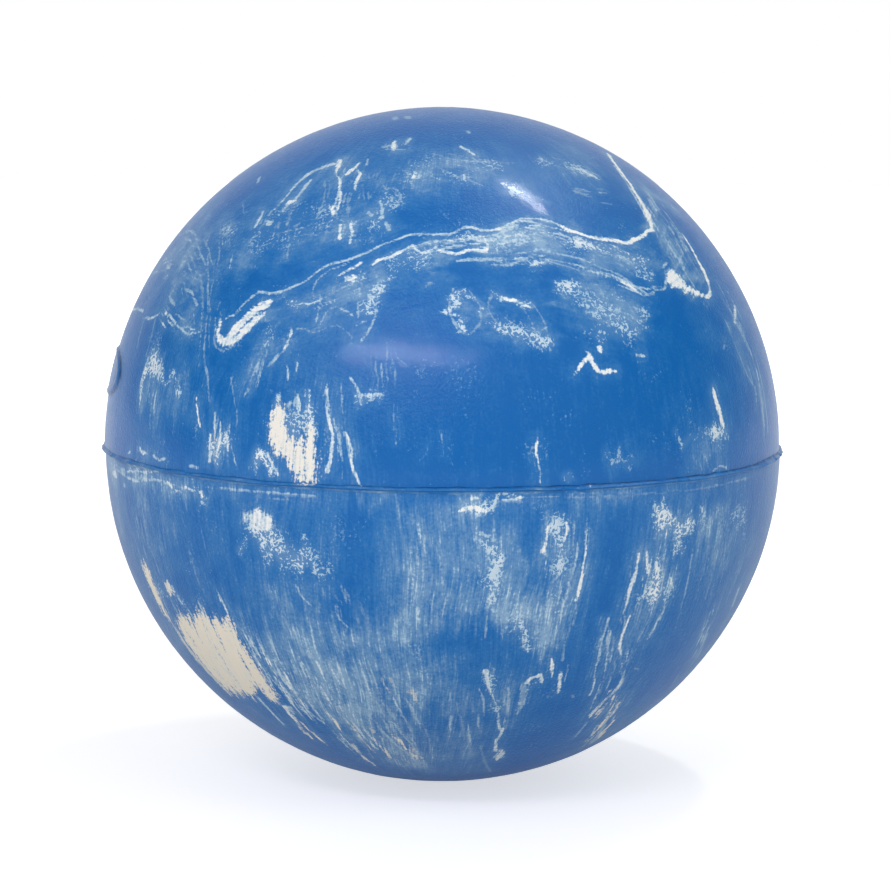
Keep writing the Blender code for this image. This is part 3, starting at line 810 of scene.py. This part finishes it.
def add_soft(field, units, chosen, marks, share):
    """Paints soft strokes that build up where they overlap."""
    for mark in marks:
        half_width, strength, _ = mark
        near, inside = inside_mark(units, mark, SOFT_OUTSIDE * half_width)
        value = smooth(-SOFT_OUTSIDE * half_width, SOFT_INSIDE * half_width, inside) * strength * share[near]
        spots = chosen[near]
        field[spots] = 1 - (1 - field[spots]) * (1 - value)


def paint(units, marks, seed):
    """The marbling's fields at these directions, as a dict of arrays from 0 to 1."""
    lon, _ = places(units)
    away = smooth(FRONT_EDGE, BACK_EDGE, np.abs(lon))
    names = ("solid", "tone", "warm", "halo", "lace", "milk", "clear")
    fields = {name: np.zeros(len(units)) for name in names}
    sides = (
        (np.flatnonzero(away < 1), FRONT_WANDER, same, 1 - away),
        (np.flatnonzero(away > 0), BACK_WANDER, behind, away),
    )
    for chosen, wander, turn, weight in sides:
        side_seed = seed + int(wander)
        share = weight[chosen]
        moved = wandered(units[chosen], side_seed, wander, WOBBLE)
        swirl = swirl_of(moved)
        frayed = combed(moved, seed + 3, swirl, PATCH_FRAY)
        soft = combed(moved, seed + 5, swirl, SOFT_FRAY)
        drawn = wandered(units[chosen], side_seed, wander, LINE_WOBBLE)
        add_solid(fields, drawn, chosen, turn(marks["lines"]), LINE_WARMTH, share)
        add_solid(fields, frayed, chosen, turn(marks["cream"]), 1.0, share)
        add_soft(fields["lace"], frayed, chosen, turn(marks["lace"]), share)
        for name in ("milk", "clear"):
            add_soft(fields[name], soft, chosen, turn(marks[name]), share)
    haze = marks["haze"] + HAZE_CHANGE * layered_noise(units, 0.3, seed + 40, 3)
    milk = 1 - (1 - fields["milk"]) * (1 - np.clip(haze, 0, 1))
    fields["milk"] = milk * (1 - fields.pop("clear"))
    return fields


UPPER_MARKS = {
    "lines": UPPER_LINES + strands(UPPER_BUNDLES, 7),
    "cream": UPPER_CREAM,
    "lace": UPPER_LACE,
    "milk": UPPER_MILK,
    "clear": UPPER_CLEAR,
    "haze": 0.07,
}
LOWER_MARKS = {
    "lines": LOWER_LINES + strands(LOWER_BUNDLES, 9),
    "cream": LOWER_CREAM + strands(LOWER_CREAM_BUNDLES, 4),
    "lace": LOWER_LACE,
    "milk": LOWER_MILK,
    "clear": LOWER_CLEAR,
    "haze": 0.24,
}


def paint_upper(units):
    return paint(units, UPPER_MARKS, 11)


def paint_lower(units):
    return paint(units, LOWER_MARKS, 23)


def add_flow(fields, units, seed):
    """Coordinates stretched along the way the rubber flowed, for streaks finer than the mesh."""
    lon, lat = places(units)
    bent = np.degrees(0.035 * layered_noise(units, 0.4, seed, 2))
    fields["down_flow"] = down_flow(lon, lat, bent)
    fields["layer_flow"] = layer_flow(lon, lat, 2 * bent)
    fields["swirl"] = swirl_of(units)


# ---------------------------------------------------------------- meshes

NO_TRIANGLES = np.zeros((0, 3), int)


def new_mesh(name, points, quads, triangles=NO_TRIANGLES):
    """A mesh object from numpy arrays of corners and faces."""
    mesh = bpy.data.meshes.new(name)
    corners = np.concatenate([quads.ravel(), triangles.ravel()]).astype(np.int32)
    sizes = np.concatenate([np.full(len(quads), 4), np.full(len(triangles), 3)]).astype(np.int32)
    starts = np.concatenate([[0], np.cumsum(sizes)[:-1]]).astype(np.int32)
    mesh.vertices.add(len(points))
    mesh.vertices.foreach_set("co", points.astype(np.float32).ravel())
    mesh.loops.add(len(corners))
    mesh.loops.foreach_set("vertex_index", corners)
    mesh.polygons.add(len(sizes))
    mesh.polygons.foreach_set("loop_start", starts)
    mesh.update(calc_edges=True)
    mesh.validate()
    mesh.shade_smooth()
    obj = bpy.data.objects.new(name, mesh)
    bpy.context.scene.collection.objects.link(obj)
    return obj


def ring_quads(rows, columns, closed_rows=False):
    """Quads of a grid whose columns join round into a ring."""
    last = rows if closed_rows else rows - 1
    row, column = np.meshgrid(np.arange(last), np.arange(columns), indexing="ij")
    above = row * columns
    below = (row + 1) % rows * columns
    after = (column + 1) % columns
    quads = [above + column, below + column, below + after, above + after]
    return np.stack(quads, axis=-1).reshape(-1, 4)


def longitudes_round(columns):
    return np.arange(columns) * 360.0 / columns - 180.0


def store(obj, fields):
    """Keeps the fields on the mesh, where the material's Attribute nodes read them."""
    for name, values in fields.items():
        kind, key = ("FLOAT_VECTOR", "vector") if values.ndim == 2 else ("FLOAT", "value")
        attribute = obj.data.attributes.new(name, kind, "POINT")
        attribute.data.foreach_set(key, values.astype(np.float32).ravel())


# ---------------------------------------------------------------- the badge

OFF_BADGE = 9.0  # the distance given to the half of the ball that faces away from the badge


def badge_distance(units):
    """How far each direction is from the badge's middle: 1 on its oval outline."""
    middle = directions(BADGE_LONGITUDE, BADGE_LATITUDE)
    east = directions(BADGE_LONGITUDE + 90, 0)
    north = np.cross(east, middle)
    across = units @ east * BALL_RADIUS / BADGE_HALF_WIDTH
    up = units @ north * BALL_RADIUS / BADGE_HALF_HEIGHT
    return np.where(units @ middle > 0, np.hypot(across, up), OFF_BADGE)


def ridge(out, middle, width):
    """1 at this distance from the badge's middle, falling away over about this width."""
    return np.exp(-(((out - middle) / width) ** 2))


def badge_relief(units):
    """How far the badge stands proud at each direction: an oval plate with a rounded rim."""
    out = badge_distance(units)
    plate = smooth(1.04, 0.94, out) * BADGE_PLATE_RISE
    rim = ridge(out, 0.88, 0.07) * BADGE_RIM_RISE
    return plate + rim


def badge_crease(units):
    """Where the badge is darkened towards deep navy: its edge, and a fainter ring inside the rim."""
    out = badge_distance(units)
    return np.clip(ridge(out, 1.02, 0.05) + 0.8 * ridge(out, 0.74, 0.06), 0, 1)


# ---------------------------------------------------------------- the covers

WAVE_HEIGHT = 0.00006
RIPPLE_HEIGHT = 0.000012
WHITE_SINK = 0.00003
FLAT_EDGE = 1.5  # degrees beside the parting plane over which the relief fades out


def surface_relief(units, fields, seed):
    """Moulding waviness, ripples and the slight sink of the white rubber, in metres."""
    waves = WAVE_HEIGHT * layered_noise(units, 0.25, seed, 3)
    ripples = RIPPLE_HEIGHT * layered_noise(units, 0.02, seed + 7, 2)
    edge = smooth(0.35, 0.5, fields["solid"]) * fields["tone"]
    return waves + ripples - WHITE_SINK * edge


def latitude_at(height, radius):
    return math.degrees(math.asin(height / radius))


def cover_faces(count):
    """Quads of the upper cover, whose first and last points are the poles, and the triangles round those."""
    rows = OUTER_ROWS + INNER_ROWS
    quads = 1 + ring_quads(rows, COLUMNS)
    column = np.arange(COLUMNS)
    after = (column + 1) % COLUMNS
    top = np.column_stack([np.zeros(COLUMNS, int), 1 + column, 1 + after])
    last_row = 1 + (rows - 1) * COLUMNS
    bottom = np.column_stack([last_row + column, np.full(COLUMNS, count - 1), last_row + after])
    return quads, np.vstack([top, bottom])


def make_cover(name, sign, paint_half, seed, shift):
    """Half of the cover: a dense outside, the flat land at the parting plane and a plain inside."""
    outer = np.linspace(90 - 90 / OUTER_ROWS, latitude_at(LAND_HEIGHT, BALL_RADIUS), OUTER_ROWS)
    inner = np.linspace(latitude_at(LAND_HEIGHT, COVER_INNER_RADIUS), 90 - 90 / INNER_ROWS, INNER_ROWS)
    longitudes = longitudes_round(COLUMNS)
    outer_units = directions(longitudes[None, :], sign * outer[:, None]).reshape(-1, 3)
    inner_units = directions(longitudes[None, :], sign * inner[:, None]).reshape(-1, 3)
    pole = np.array([[0.0, 0.0, float(sign)]])

    outside = np.vstack([pole, outer_units])
    fields = paint_half(outside)
    add_flow(fields, outside, seed)
    relief = surface_relief(outside, fields, seed)
    relief *= smooth(0, FLAT_EDGE, np.abs(places(outside)[1]))
    fields["crease"] = np.zeros(len(outside))
    if sign > 0:
        relief += badge_relief(outside)
        fields["crease"] = badge_crease(outside)
    points = np.vstack([
        outside * (BALL_RADIUS + relief)[:, None],
        inner_units * COVER_INNER_RADIUS,
        pole * COVER_INNER_RADIUS,
    ])
    points[:, 0] += shift
    for field, values in fields.items():
        plain_inside = np.zeros((len(points) - len(outside), *values.shape[1:]))
        fields[field] = np.concatenate([values, plain_inside])

    quads, triangles = cover_faces(len(points))
    if sign < 0:
        quads, triangles = quads[:, ::-1], triangles[:, ::-1]
    cover = new_mesh(name, points, quads, triangles)
    store(cover, fields)
    return cover


# ---------------------------------------------------------------- the seam bead

BEAD_FOOT_DEPTH = 0.0004  # how far inside the ball's surface the bead's edges lie, for a share of 1
SEAM_BLEND = 0.0004  # the bead's marbling changes from one cover's to the other's over twice this
BEAD_SWIRL = 0.85
BEAD_MILK = 0.6

# The bead's cross-section from its top edge round to its bottom edge: how far out of the ball, as a share
# of the rise, how high, as a share of the half height, how much painted shade darkens it there, in its
# creases and under its crest, and how pale it is there
BEAD_PROFILE = (
    (-0.90, 1.00, 0.0, 0.0),
    (-0.10, 1.00, 1.0, 0.0),
    (0.12, 0.78, 0.7, 0.0),
    (0.36, 0.56, 0.0, 0.20),
    (0.72, 0.32, 0.0, 0.35),
    (0.95, 0.14, 0.0, 0.30),
    (1.00, 0.00, 0.0, 0.10),
    (0.90, -0.16, 0.5, 0.0),
    (0.62, -0.32, 0.2, 0.1),
    (0.42, -0.50, 0.0, 0.40),
    (0.22, -0.70, 0.0, 0.45),
    (0.06, -0.90, 0.0, 0.40),
    (-0.10, -1.00, 0.2, 0.2),
    (-0.90, -1.00, 0.0, 0.0),
)


def bead_points(around):
    """The bead's corners, row by row: it is ragged, nicked and never quite level."""
    slow = layered_noise(around, 0.30, 61, 3)
    quick = layered_noise(around, 0.04, 67, 3)
    wander = layered_noise(around, 0.16, 71, 3)
    nicks = smooth(0.45, 0.9, layered_noise(around, 0.05, 73, 2))
    rise = BEAD_PROUD * np.clip(0.80 + 0.20 * slow + 0.12 * quick - 0.45 * nicks, 0.15, 1.0)
    crest = BEAD_HALF_HEIGHT * (0.16 * wander + 0.07 * quick)
    half = BEAD_HALF_HEIGHT * np.clip(0.66 + 0.16 * slow + 0.12 * quick, 0.4, 1.0)
    rows = []
    for out, up, _, _ in BEAD_PROFILE:
        radius = BALL_RADIUS + np.where(out > 0, out * rise, out * BEAD_FOOT_DEPTH)
        height = crest * (1 - abs(up)) + up * half
        rows.append(np.column_stack([around[:, :2] * radius[:, None], height]))
    return np.concatenate(rows)


def bead_fields(points):
    """The covers' marbling carried over the bead, with painted shade in its creases and under its crest, and
    pale on its flanks.
    """
    units = points / np.linalg.norm(points, axis=1, keepdims=True)
    above, below = paint_upper(units), paint_lower(units)
    share = smooth(-SEAM_BLEND, SEAM_BLEND, points[:, 2])
    fields = {key: above[key] * share + below[key] * (1 - share) for key in above}
    add_flow(fields, units, 5)
    lon, lat = places(units)
    level = 0 * lat
    across = np.column_stack([level, level, np.radians(3 * lat)])
    fields["layer_flow"] = layer_flow(lon, level) + across
    fields["swirl"] = np.full(len(units), BEAD_SWIRL)
    # dark is painted shade, in the bead's creases and under its crest; pale adds milk on its flanks
    _, _, dark, pale = (np.repeat(column, BEAD_COLUMNS) for column in zip(*BEAD_PROFILE))
    fields["crease"] = dark
    fields["milk"] = fields["milk"] * BEAD_MILK + pale
    return fields


def make_bead():
    """The rubber squeezed out at the parting line."""
    points = bead_points(directions(longitudes_round(BEAD_COLUMNS), 0.0))
    bead = new_mesh("seam_bead_shown", points, ring_quads(len(BEAD_PROFILE), BEAD_COLUMNS, True))
    store(bead, bead_fields(points))
    return bead


# ---------------------------------------------------------------- materials

PLAIN_NOISE_SPREAD = 0.13  # the noise node's standard deviation with no detail


class Graph:
    """Short ways to add nodes to a material and join them."""

    def __init__(self, name):
        self.material = bpy.data.materials.new(name)
        self.material.use_nodes = True
        self.tree = self.material.node_tree
        self.shader = self.tree.nodes["Principled BSDF"]

    def put(self, socket, value):
        if isinstance(value, bpy.types.NodeSocket):
            self.tree.links.new(value, socket)
        else:
            socket.default_value = value

    def set_shader(self, values):
        """Puts each value on the shader's socket of that name."""
        for name, value in values.items():
            self.put(self.shader.inputs[name], value)

    def attribute(self, name, output="Fac"):
        node = self.tree.nodes.new("ShaderNodeAttribute")
        node.attribute_name = name
        return node.outputs[output]

    def math(self, operation, *values, clamp=False):
        node = self.tree.nodes.new("ShaderNodeMath")
        node.operation = operation
        node.use_clamp = clamp
        for socket, value in zip(node.inputs, values):
            self.put(socket, value)
        return node.outputs[0]

    def total(self, *terms):
        """The sum of (value, factor) terms."""
        result = 0.0
        for value, factor in terms:
            result = self.math("MULTIPLY_ADD", value, factor, result)
        return result

    def step(self, value, low, high):
        """Rises smoothly from 0 to 1 as value goes from low to high."""
        node = self.tree.nodes.new("ShaderNodeMapRange")
        node.interpolation_type = "SMOOTHSTEP"
        for socket, given in zip(node.inputs, (value, low, high, 0.0, 1.0)):
            self.put(socket, given)
        return node.outputs[0]

    def noise(self, vector, scale, detail=2, roughness=0.5):
        """Noise centred on 0, with a spread of about 1 whatever its detail."""
        node = self.tree.nodes.new("ShaderNodeTexNoise")
        self.put(node.inputs["Vector"], vector)
        node.inputs["Scale"].default_value = scale
        node.inputs["Detail"].default_value = detail
        node.inputs["Roughness"].default_value = roughness
        weights = roughness ** np.arange(detail + 1)
        gain = float(weights.sum() / np.linalg.norm(weights) / PLAIN_NOISE_SPREAD)
        return self.math("MULTIPLY_ADD", node.outputs["Fac"], gain, -0.5 * gain)

    def blend(self, share, first, second, kind="RGBA"):
        node = self.tree.nodes.new("ShaderNodeMix")
        node.data_type = kind
        sockets = [s for s in node.inputs if s.enabled]
        for socket, value in zip(sockets, (share, first, second)):
            self.put(socket, value)
        return next(s for s in node.outputs if s.enabled)

    def ramp(self, value, stops):
        node = self.tree.nodes.new("ShaderNodeValToRGB")
        elements = node.color_ramp.elements
        while len(elements) < len(stops):
            elements.new(0.5)
        for element, (place, colour) in zip(elements, stops):
            element.position = place
            element.color = (*colour, 1.0)
        self.put(node.inputs["Fac"], value)
        return node.outputs["Color"]

    def bump(self, height, distance):
        node = self.tree.nodes.new("ShaderNodeBump")
        node.inputs["Strength"].default_value = 1.0
        node.inputs["Distance"].default_value = distance
        self.put(node.inputs["Height"], height)
        self.tree.links.new(node.outputs[0], self.shader.inputs["Normal"])

    def place(self):
        return self.tree.nodes.new("ShaderNodeTexCoord").outputs["Object"]


BLUE_TO_WHITE = (
    (0.00, (0.001, 0.125, 0.415)),
    (0.12, (0.014, 0.155, 0.440)),
    (0.25, (0.045, 0.195, 0.460)),
    (0.48, (0.150, 0.310, 0.520)),
    (0.74, (0.390, 0.570, 0.700)),
    (1.00, (0.830, 0.860, 0.850)),
)
CREAM = (0.84, 0.77, 0.62, 1.0)
# the deep blue of the painted shade in the seam bead's creases, also the darker navy round the badge
CREASE_BLUE = (0.003, 0.030, 0.105, 1.0)
MOST_VEIL = 0.56  # how white the milk can be before its threads are added
GRAIN_DEPTH = 0.000022


def rubber_grain(g):
    """The noises that the marbling's layers share. The streaks are drawn out along the rubber's flow."""
    place = g.place()
    down = g.attribute("down_flow", "Vector")
    layer = g.attribute("layer_flow", "Vector")
    swirl = g.attribute("swirl")
    fine = g.noise(place, 2000, 2, 0.6)
    broad_streak = g.blend(swirl, g.noise(down, 40, 3, 0.6), g.noise(layer, 34, 3, 0.6), "FLOAT")
    thin_streak = g.blend(swirl, g.noise(down, 150, 3, 0.6), g.noise(layer, 120, 3, 0.6), "FLOAT")
    return SimpleNamespace(
        place=place,
        swirl=swirl,
        halo=g.attribute("halo"),
        clumps=g.noise(place, 650, 2),
        fine=fine,
        broad_streak=broad_streak,
        thin_streak=thin_streak,
        streak=g.total((broad_streak, 0.6), (thin_streak, 0.6), (fine, 0.25)),
    )


def milk_white(g, grain, veil_gain):
    """A smoky veil combed into streaks, with pale threads where it is thick."""
    milk = g.total((g.attribute("milk"), 1.0), (grain.halo, 0.20))
    smoke = g.noise(grain.place, 160, 5, 0.68)
    smokiness = g.math("MULTIPLY_ADD", grain.swirl, 0.35, 0.42)
    texture = g.blend(smokiness, grain.streak, smoke, "FLOAT")
    depth = g.math("MULTIPLY_ADD", milk, 0.13, 0.040)
    veil = g.total((milk, veil_gain), (texture, depth), (grain.fine, 0.015))
    veil = g.math("MINIMUM", veil, MOST_VEIL)
    crowding = g.total((grain.thin_streak, 0.7), (texture, 0.6), (grain.fine, 0.35), (milk, 1.4))
    threads = g.step(crowding, 1.8, 4.2)
    thread_white = g.math("MULTIPLY_ADD", milk, 0.26, 0.06)
    return g.total((veil, 1.0), (threads, thread_white))


def lace_white(g, grain):
    """Filaments and specks that crowd together as the field rises."""
    lace = g.total((g.attribute("lace"), 1.0), (grain.halo, 0.20))
    wide, narrow = (g.math("ABSOLUTE", g.noise(grain.place, scale, 1)) for scale in (650, 1100))
    ridges = g.math("MINIMUM", wide, narrow)
    clusters = g.noise(grain.place, 190, 2)
    crumbs = g.total((ridges, -2.5), (grain.fine, 0.65), (clusters, 0.65), (grain.streak, 0.25), (1.0, 0.8))
    mask = g.step(g.total((crumbs, 1.0), (lace, 3.6)), 1.7, 3.5)
    specks = g.math("MULTIPLY", mask, g.math("MULTIPLY_ADD", lace, 0.55, 0.42))
    return g.math("MAXIMUM", specks, g.math("MULTIPLY", lace, 0.45))


def solid_white(g, grain):
    """Lines and patches with ragged, feathered edges."""
    fray = g.math("MULTIPLY_ADD", g.attribute("warm"), 0.050, 0.045)
    raggedness = g.total((grain.streak, 1.0), (grain.clumps, 0.30), (grain.fine, 0.45))
    mask = g.step(g.total((g.attribute("solid"), 1.0), (fray, raggedness)), 0.38, 0.68)
    uneven = g.total((0.96, 1.0), (grain.fine, 0.05), (grain.thin_streak, 0.07), (grain.broad_streak, 0.04))
    return g.math("MULTIPLY", g.math("MULTIPLY", mask, g.attribute("tone")), uneven)


def marbled_rubber(name, veil_gain, warmth):
    """Deep blue rubber with milky veils, lacy specks, and white or cream lines and patches."""
    g = Graph(name)
    grain = rubber_grain(g)
    solid = solid_white(g, grain)
    soft = g.math("MAXIMUM", milk_white(g, grain, veil_gain), lace_white(g, grain))
    white = g.math("MAXIMUM", soft, solid, clamp=True)
    warm = g.math("MULTIPLY", g.math("MULTIPLY", solid, g.attribute("warm")), warmth, clamp=True)
    colour = g.blend(warm, g.ramp(white, BLUE_TO_WHITE), CREAM)
    # The crease field darkens the colour: painted shade in the bead's creases and under its crest, and a
    # darker navy round the badge's edge and inside its rim
    broken = g.step(g.total((grain.clumps, 0.5), (grain.streak, 0.4)), -1.2, 0.2)
    crease = g.math("MULTIPLY", g.math("MULTIPLY", g.attribute("crease"), broken), 0.85)
    g.set_shader({
        "Base Color": g.blend(crease, colour, CREASE_BLUE),
        "Roughness": g.total((white, 0.08), (grain.fine, 0.02), (grain.streak, 0.015), (1.0, 0.38)),
        "IOR": 1.5,
        "Specular IOR Level": 0.20,
        "Coat Weight": 0.13,
        "Coat Roughness": 0.14,
    })
    g.bump(g.total((grain.fine, 0.4), (white, -0.6), (grain.streak, 0.2)), GRAIN_DEPTH)
    return g.material


def core_rubber():
    """Dense dark filled rubber with flecks of ground scrap in it."""
    g = Graph("core_rubber")
    place = g.place()
    clumps = g.noise(place, 300, 3)
    flecks = g.step(g.noise(place, 900, 2), 0.75, 1.0)
    darkness = g.math("MULTIPLY_ADD", clumps, 0.3, 0.5)
    shade = g.ramp(darkness, ((0.0, (0.018, 0.018, 0.020)), (1.0, (0.060, 0.058, 0.056))))
    g.set_shader({
        "Base Color": g.blend(flecks, shade, (0.16, 0.15, 0.14, 1.0)),
        "Roughness": g.math("MULTIPLY_ADD", clumps, 0.06, 0.78),
    })
    g.bump(clumps, 0.0002)
    return g.material


def give(obj, material):
    obj.data.materials.clear()
    obj.data.materials.append(material)


# ---------------------------------------------------------------- the camera

CAMERA_DISTANCE = 9 * BALL_RADIUS
CAMERA_ELEVATION = math.radians(7.1)
CAMERA_ROLL = math.radians(0.5)
BALL_SHARE = 0.3789  # the ball's radius over the picture's width
AIM_POINT = Vector((0.0005, 0.0, -0.00013))
SENSOR = 36.0


def make_camera():
    data = bpy.data.cameras.new("camera")
    edge = math.tan(math.asin(BALL_RADIUS / CAMERA_DISTANCE))
    data.sensor_width = SENSOR
    data.lens = SENSOR * BALL_SHARE / edge
    data.clip_start = 0.01
    camera = bpy.data.objects.new("camera", data)
    back = Vector((0.0, -math.cos(CAMERA_ELEVATION), math.sin(CAMERA_ELEVATION)))
    look = back.to_track_quat("Z", "Y").to_matrix().to_4x4()
    place = Matrix.Translation(AIM_POINT + back * CAMERA_DISTANCE)
    camera.matrix_world = place @ look @ Matrix.Rotation(CAMERA_ROLL, 4, "Z")
    bpy.context.scene.collection.objects.link(camera)
    bpy.context.scene.camera = camera


# ---------------------------------------------------------------- the floor and the lights

WHITE = (1.0, 1.0, 1.0, 1.0)
COOL_WHITE = (0.93, 0.86, 1.0)

FLOOR_HALF_SIDE = 3.0
FLOOR_GREYS = ((0.0, (0.60, 0.60, 0.60)), (1.0, (0.64, 0.64, 0.64)))
GLOW_START = 0.1  # metres from the ball's middle at which the floor starts to brighten
GLOW_FULL = 0.7
BOUNCE_DEPTH = 0.0005  # how far the floor that lights the ball lies below the one that is seen

# The world's brightness towards the camera's side, straight up and behind the ball. It rises from the
# first to one of the others between two heights of a direction's part along an axis.
ROOM_FRONT = 0.08
ROOM_ABOVE = 0.50
ROOM_BEHIND = 1.0
ROOM_RISES = (("Y", 0.45, 0.98, ROOM_BEHIND), ("Z", 0.4, 0.9, ROOM_ABOVE))


def floor_paint(name, near_glow, far_glow):
    """Pale grey that glows more away from the ball, so that the table turns pure white."""
    g = Graph(name)
    place = g.place()
    tint = g.math("MULTIPLY_ADD", g.noise(place, 6, 2), 0.01, 0.5)
    measure = g.tree.nodes.new("ShaderNodeVectorMath")
    measure.operation = "LENGTH"
    g.put(measure.inputs[0], place)
    away = g.step(measure.outputs["Value"], GLOW_START, GLOW_FULL)
    g.set_shader({
        "Base Color": g.ramp(tint, FLOOR_GREYS),
        "Roughness": 0.9,
        "Emission Color": WHITE,
        "Emission Strength": g.math("MULTIPLY_ADD", away, far_glow - near_glow, near_glow),
    })
    return g.material


def make_floor(name, depth, near_glow, far_glow, seen):
    """A pale table. It is either seen by the camera or lights the ball, and never does both."""
    half = FLOOR_HALF_SIDE
    level = -BALL_RADIUS - depth
    corners = [(-half, -half, level), (half, -half, level), (half, half, level), (-half, half, level)]
    floor = new_mesh(name, np.array(corners), np.array([[0, 1, 2, 3]]))
    give(floor, floor_paint(name + "_paint", near_glow, far_glow))
    floor.visible_camera = seen
    floor.visible_diffuse = not seen
    floor.visible_glossy = not seen
    floor.visible_shadow = not seen


def area_light(name, radiance, sides, place, colour=WHITE[:3], turn=0.0, mirrored=True, lights=True):
    """A soft light that faces the ball, as bright as this radiance over all of its face."""
    data = bpy.data.lights.new(name, "AREA")
    data.shape = "RECTANGLE"
    data.size, data.size_y = sides
    data.energy = radiance * math.pi * sides[0] * sides[1]
    data.color = colour
    light = bpy.data.objects.new(name, data)
    light.location = place
    light.rotation_euler = Vector(place).to_track_quat("Z", "Y").to_euler()
    light.rotation_euler.rotate_axis("Z", math.radians(turn))
    light.visible_glossy = mirrored
    light.visible_diffuse = lights
    bpy.context.scene.collection.objects.link(light)


def white_room():
    """A backdrop that the camera sees as white all round. It lights the ball from behind and overhead, and
    only dimly from the front."""
    world = bpy.data.worlds.new("studio")
    world.use_nodes = True
    tree = world.node_tree
    direction = tree.nodes.new("ShaderNodeSeparateXYZ")
    tree.links.new(tree.nodes.new("ShaderNodeTexCoord").outputs["Generated"], direction.inputs[0])
    brightest = tree.nodes.new("ShaderNodeLightPath").outputs["Is Camera Ray"]
    for axis, low, high, most in ROOM_RISES:
        rise = tree.nodes.new("ShaderNodeMapRange")
        rise.interpolation_type = "SMOOTHSTEP"
        for given, value in zip(rise.inputs, (0.0, low, high, ROOM_FRONT, most)):
            given.default_value = value
        tree.links.new(direction.outputs[axis], rise.inputs["Value"])
        brighter = tree.nodes.new("ShaderNodeMath")
        brighter.operation = "MAXIMUM"
        tree.links.new(brightest, brighter.inputs[0])
        tree.links.new(rise.outputs[0], brighter.inputs[1])
        brightest = brighter.outputs[0]
    tree.links.new(brightest, tree.nodes["Background"].inputs["Strength"])
    tree.nodes["Background"].inputs["Color"].default_value = WHITE
    bpy.context.scene.world = world


def light_stage():
    """The glint and the two sheens are the photo's highlights. The lights that the ball doesn't mirror
    only brighten the rubber."""
    white_room()
    area_light("overhead", 80.0, (0.14, 0.05), (0.29, 0.19, 0.94), mirrored=False)
    area_light("glint", 190.0, (0.24, 0.02), (0.32, 0.19, 0.94), turn=20, lights=False)
    area_light("sheen", 14.0, (0.50, 0.10), (-0.25, -0.80, 0.60), COOL_WHITE)
    area_light("wide_sheen", 12.0, (0.80, 0.11), (-0.18, -0.80, 0.60), COOL_WHITE, lights=False)
    area_light("fill_left", 1.20, (1.8, 1.8), (-1.2, -1.3, 0.9), mirrored=False)
    area_light("fill_right", 1.20, (1.8, 1.8), (1.2, -1.3, 0.9), mirrored=False)
    bpy.context.scene.view_settings.view_transform = "Standard"


# ---------------------------------------------------------------- the object

make_camera()
light_stage()
make_floor("floor", 0.0, 0.62, 0.94, seen=True)
make_floor("floor_bounce", BOUNCE_DEPTH, 0.20, 1.02, seen=False)

upper = make_cover("upper_cover_shown", 1, paint_upper, 31, -MOULD_SHIFT)
lower = make_cover("lower_cover_shown", -1, paint_lower, 43, MOULD_SHIFT)
bead = make_bead()
for piece, node in ((upper, "upper_cover"), (lower, "lower_cover"), (bead, "seam_bead")):
    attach(piece, "root")
    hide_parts(node)
give(upper, marbled_rubber("upper_cover_rubber", 0.70, 0.50))
give(lower, marbled_rubber("lower_cover_rubber", 0.60, 0.90))
give(bead, marbled_rubber("seam_bead_rubber", 0.50, 0.60))
give(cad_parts["core"], core_rubber())
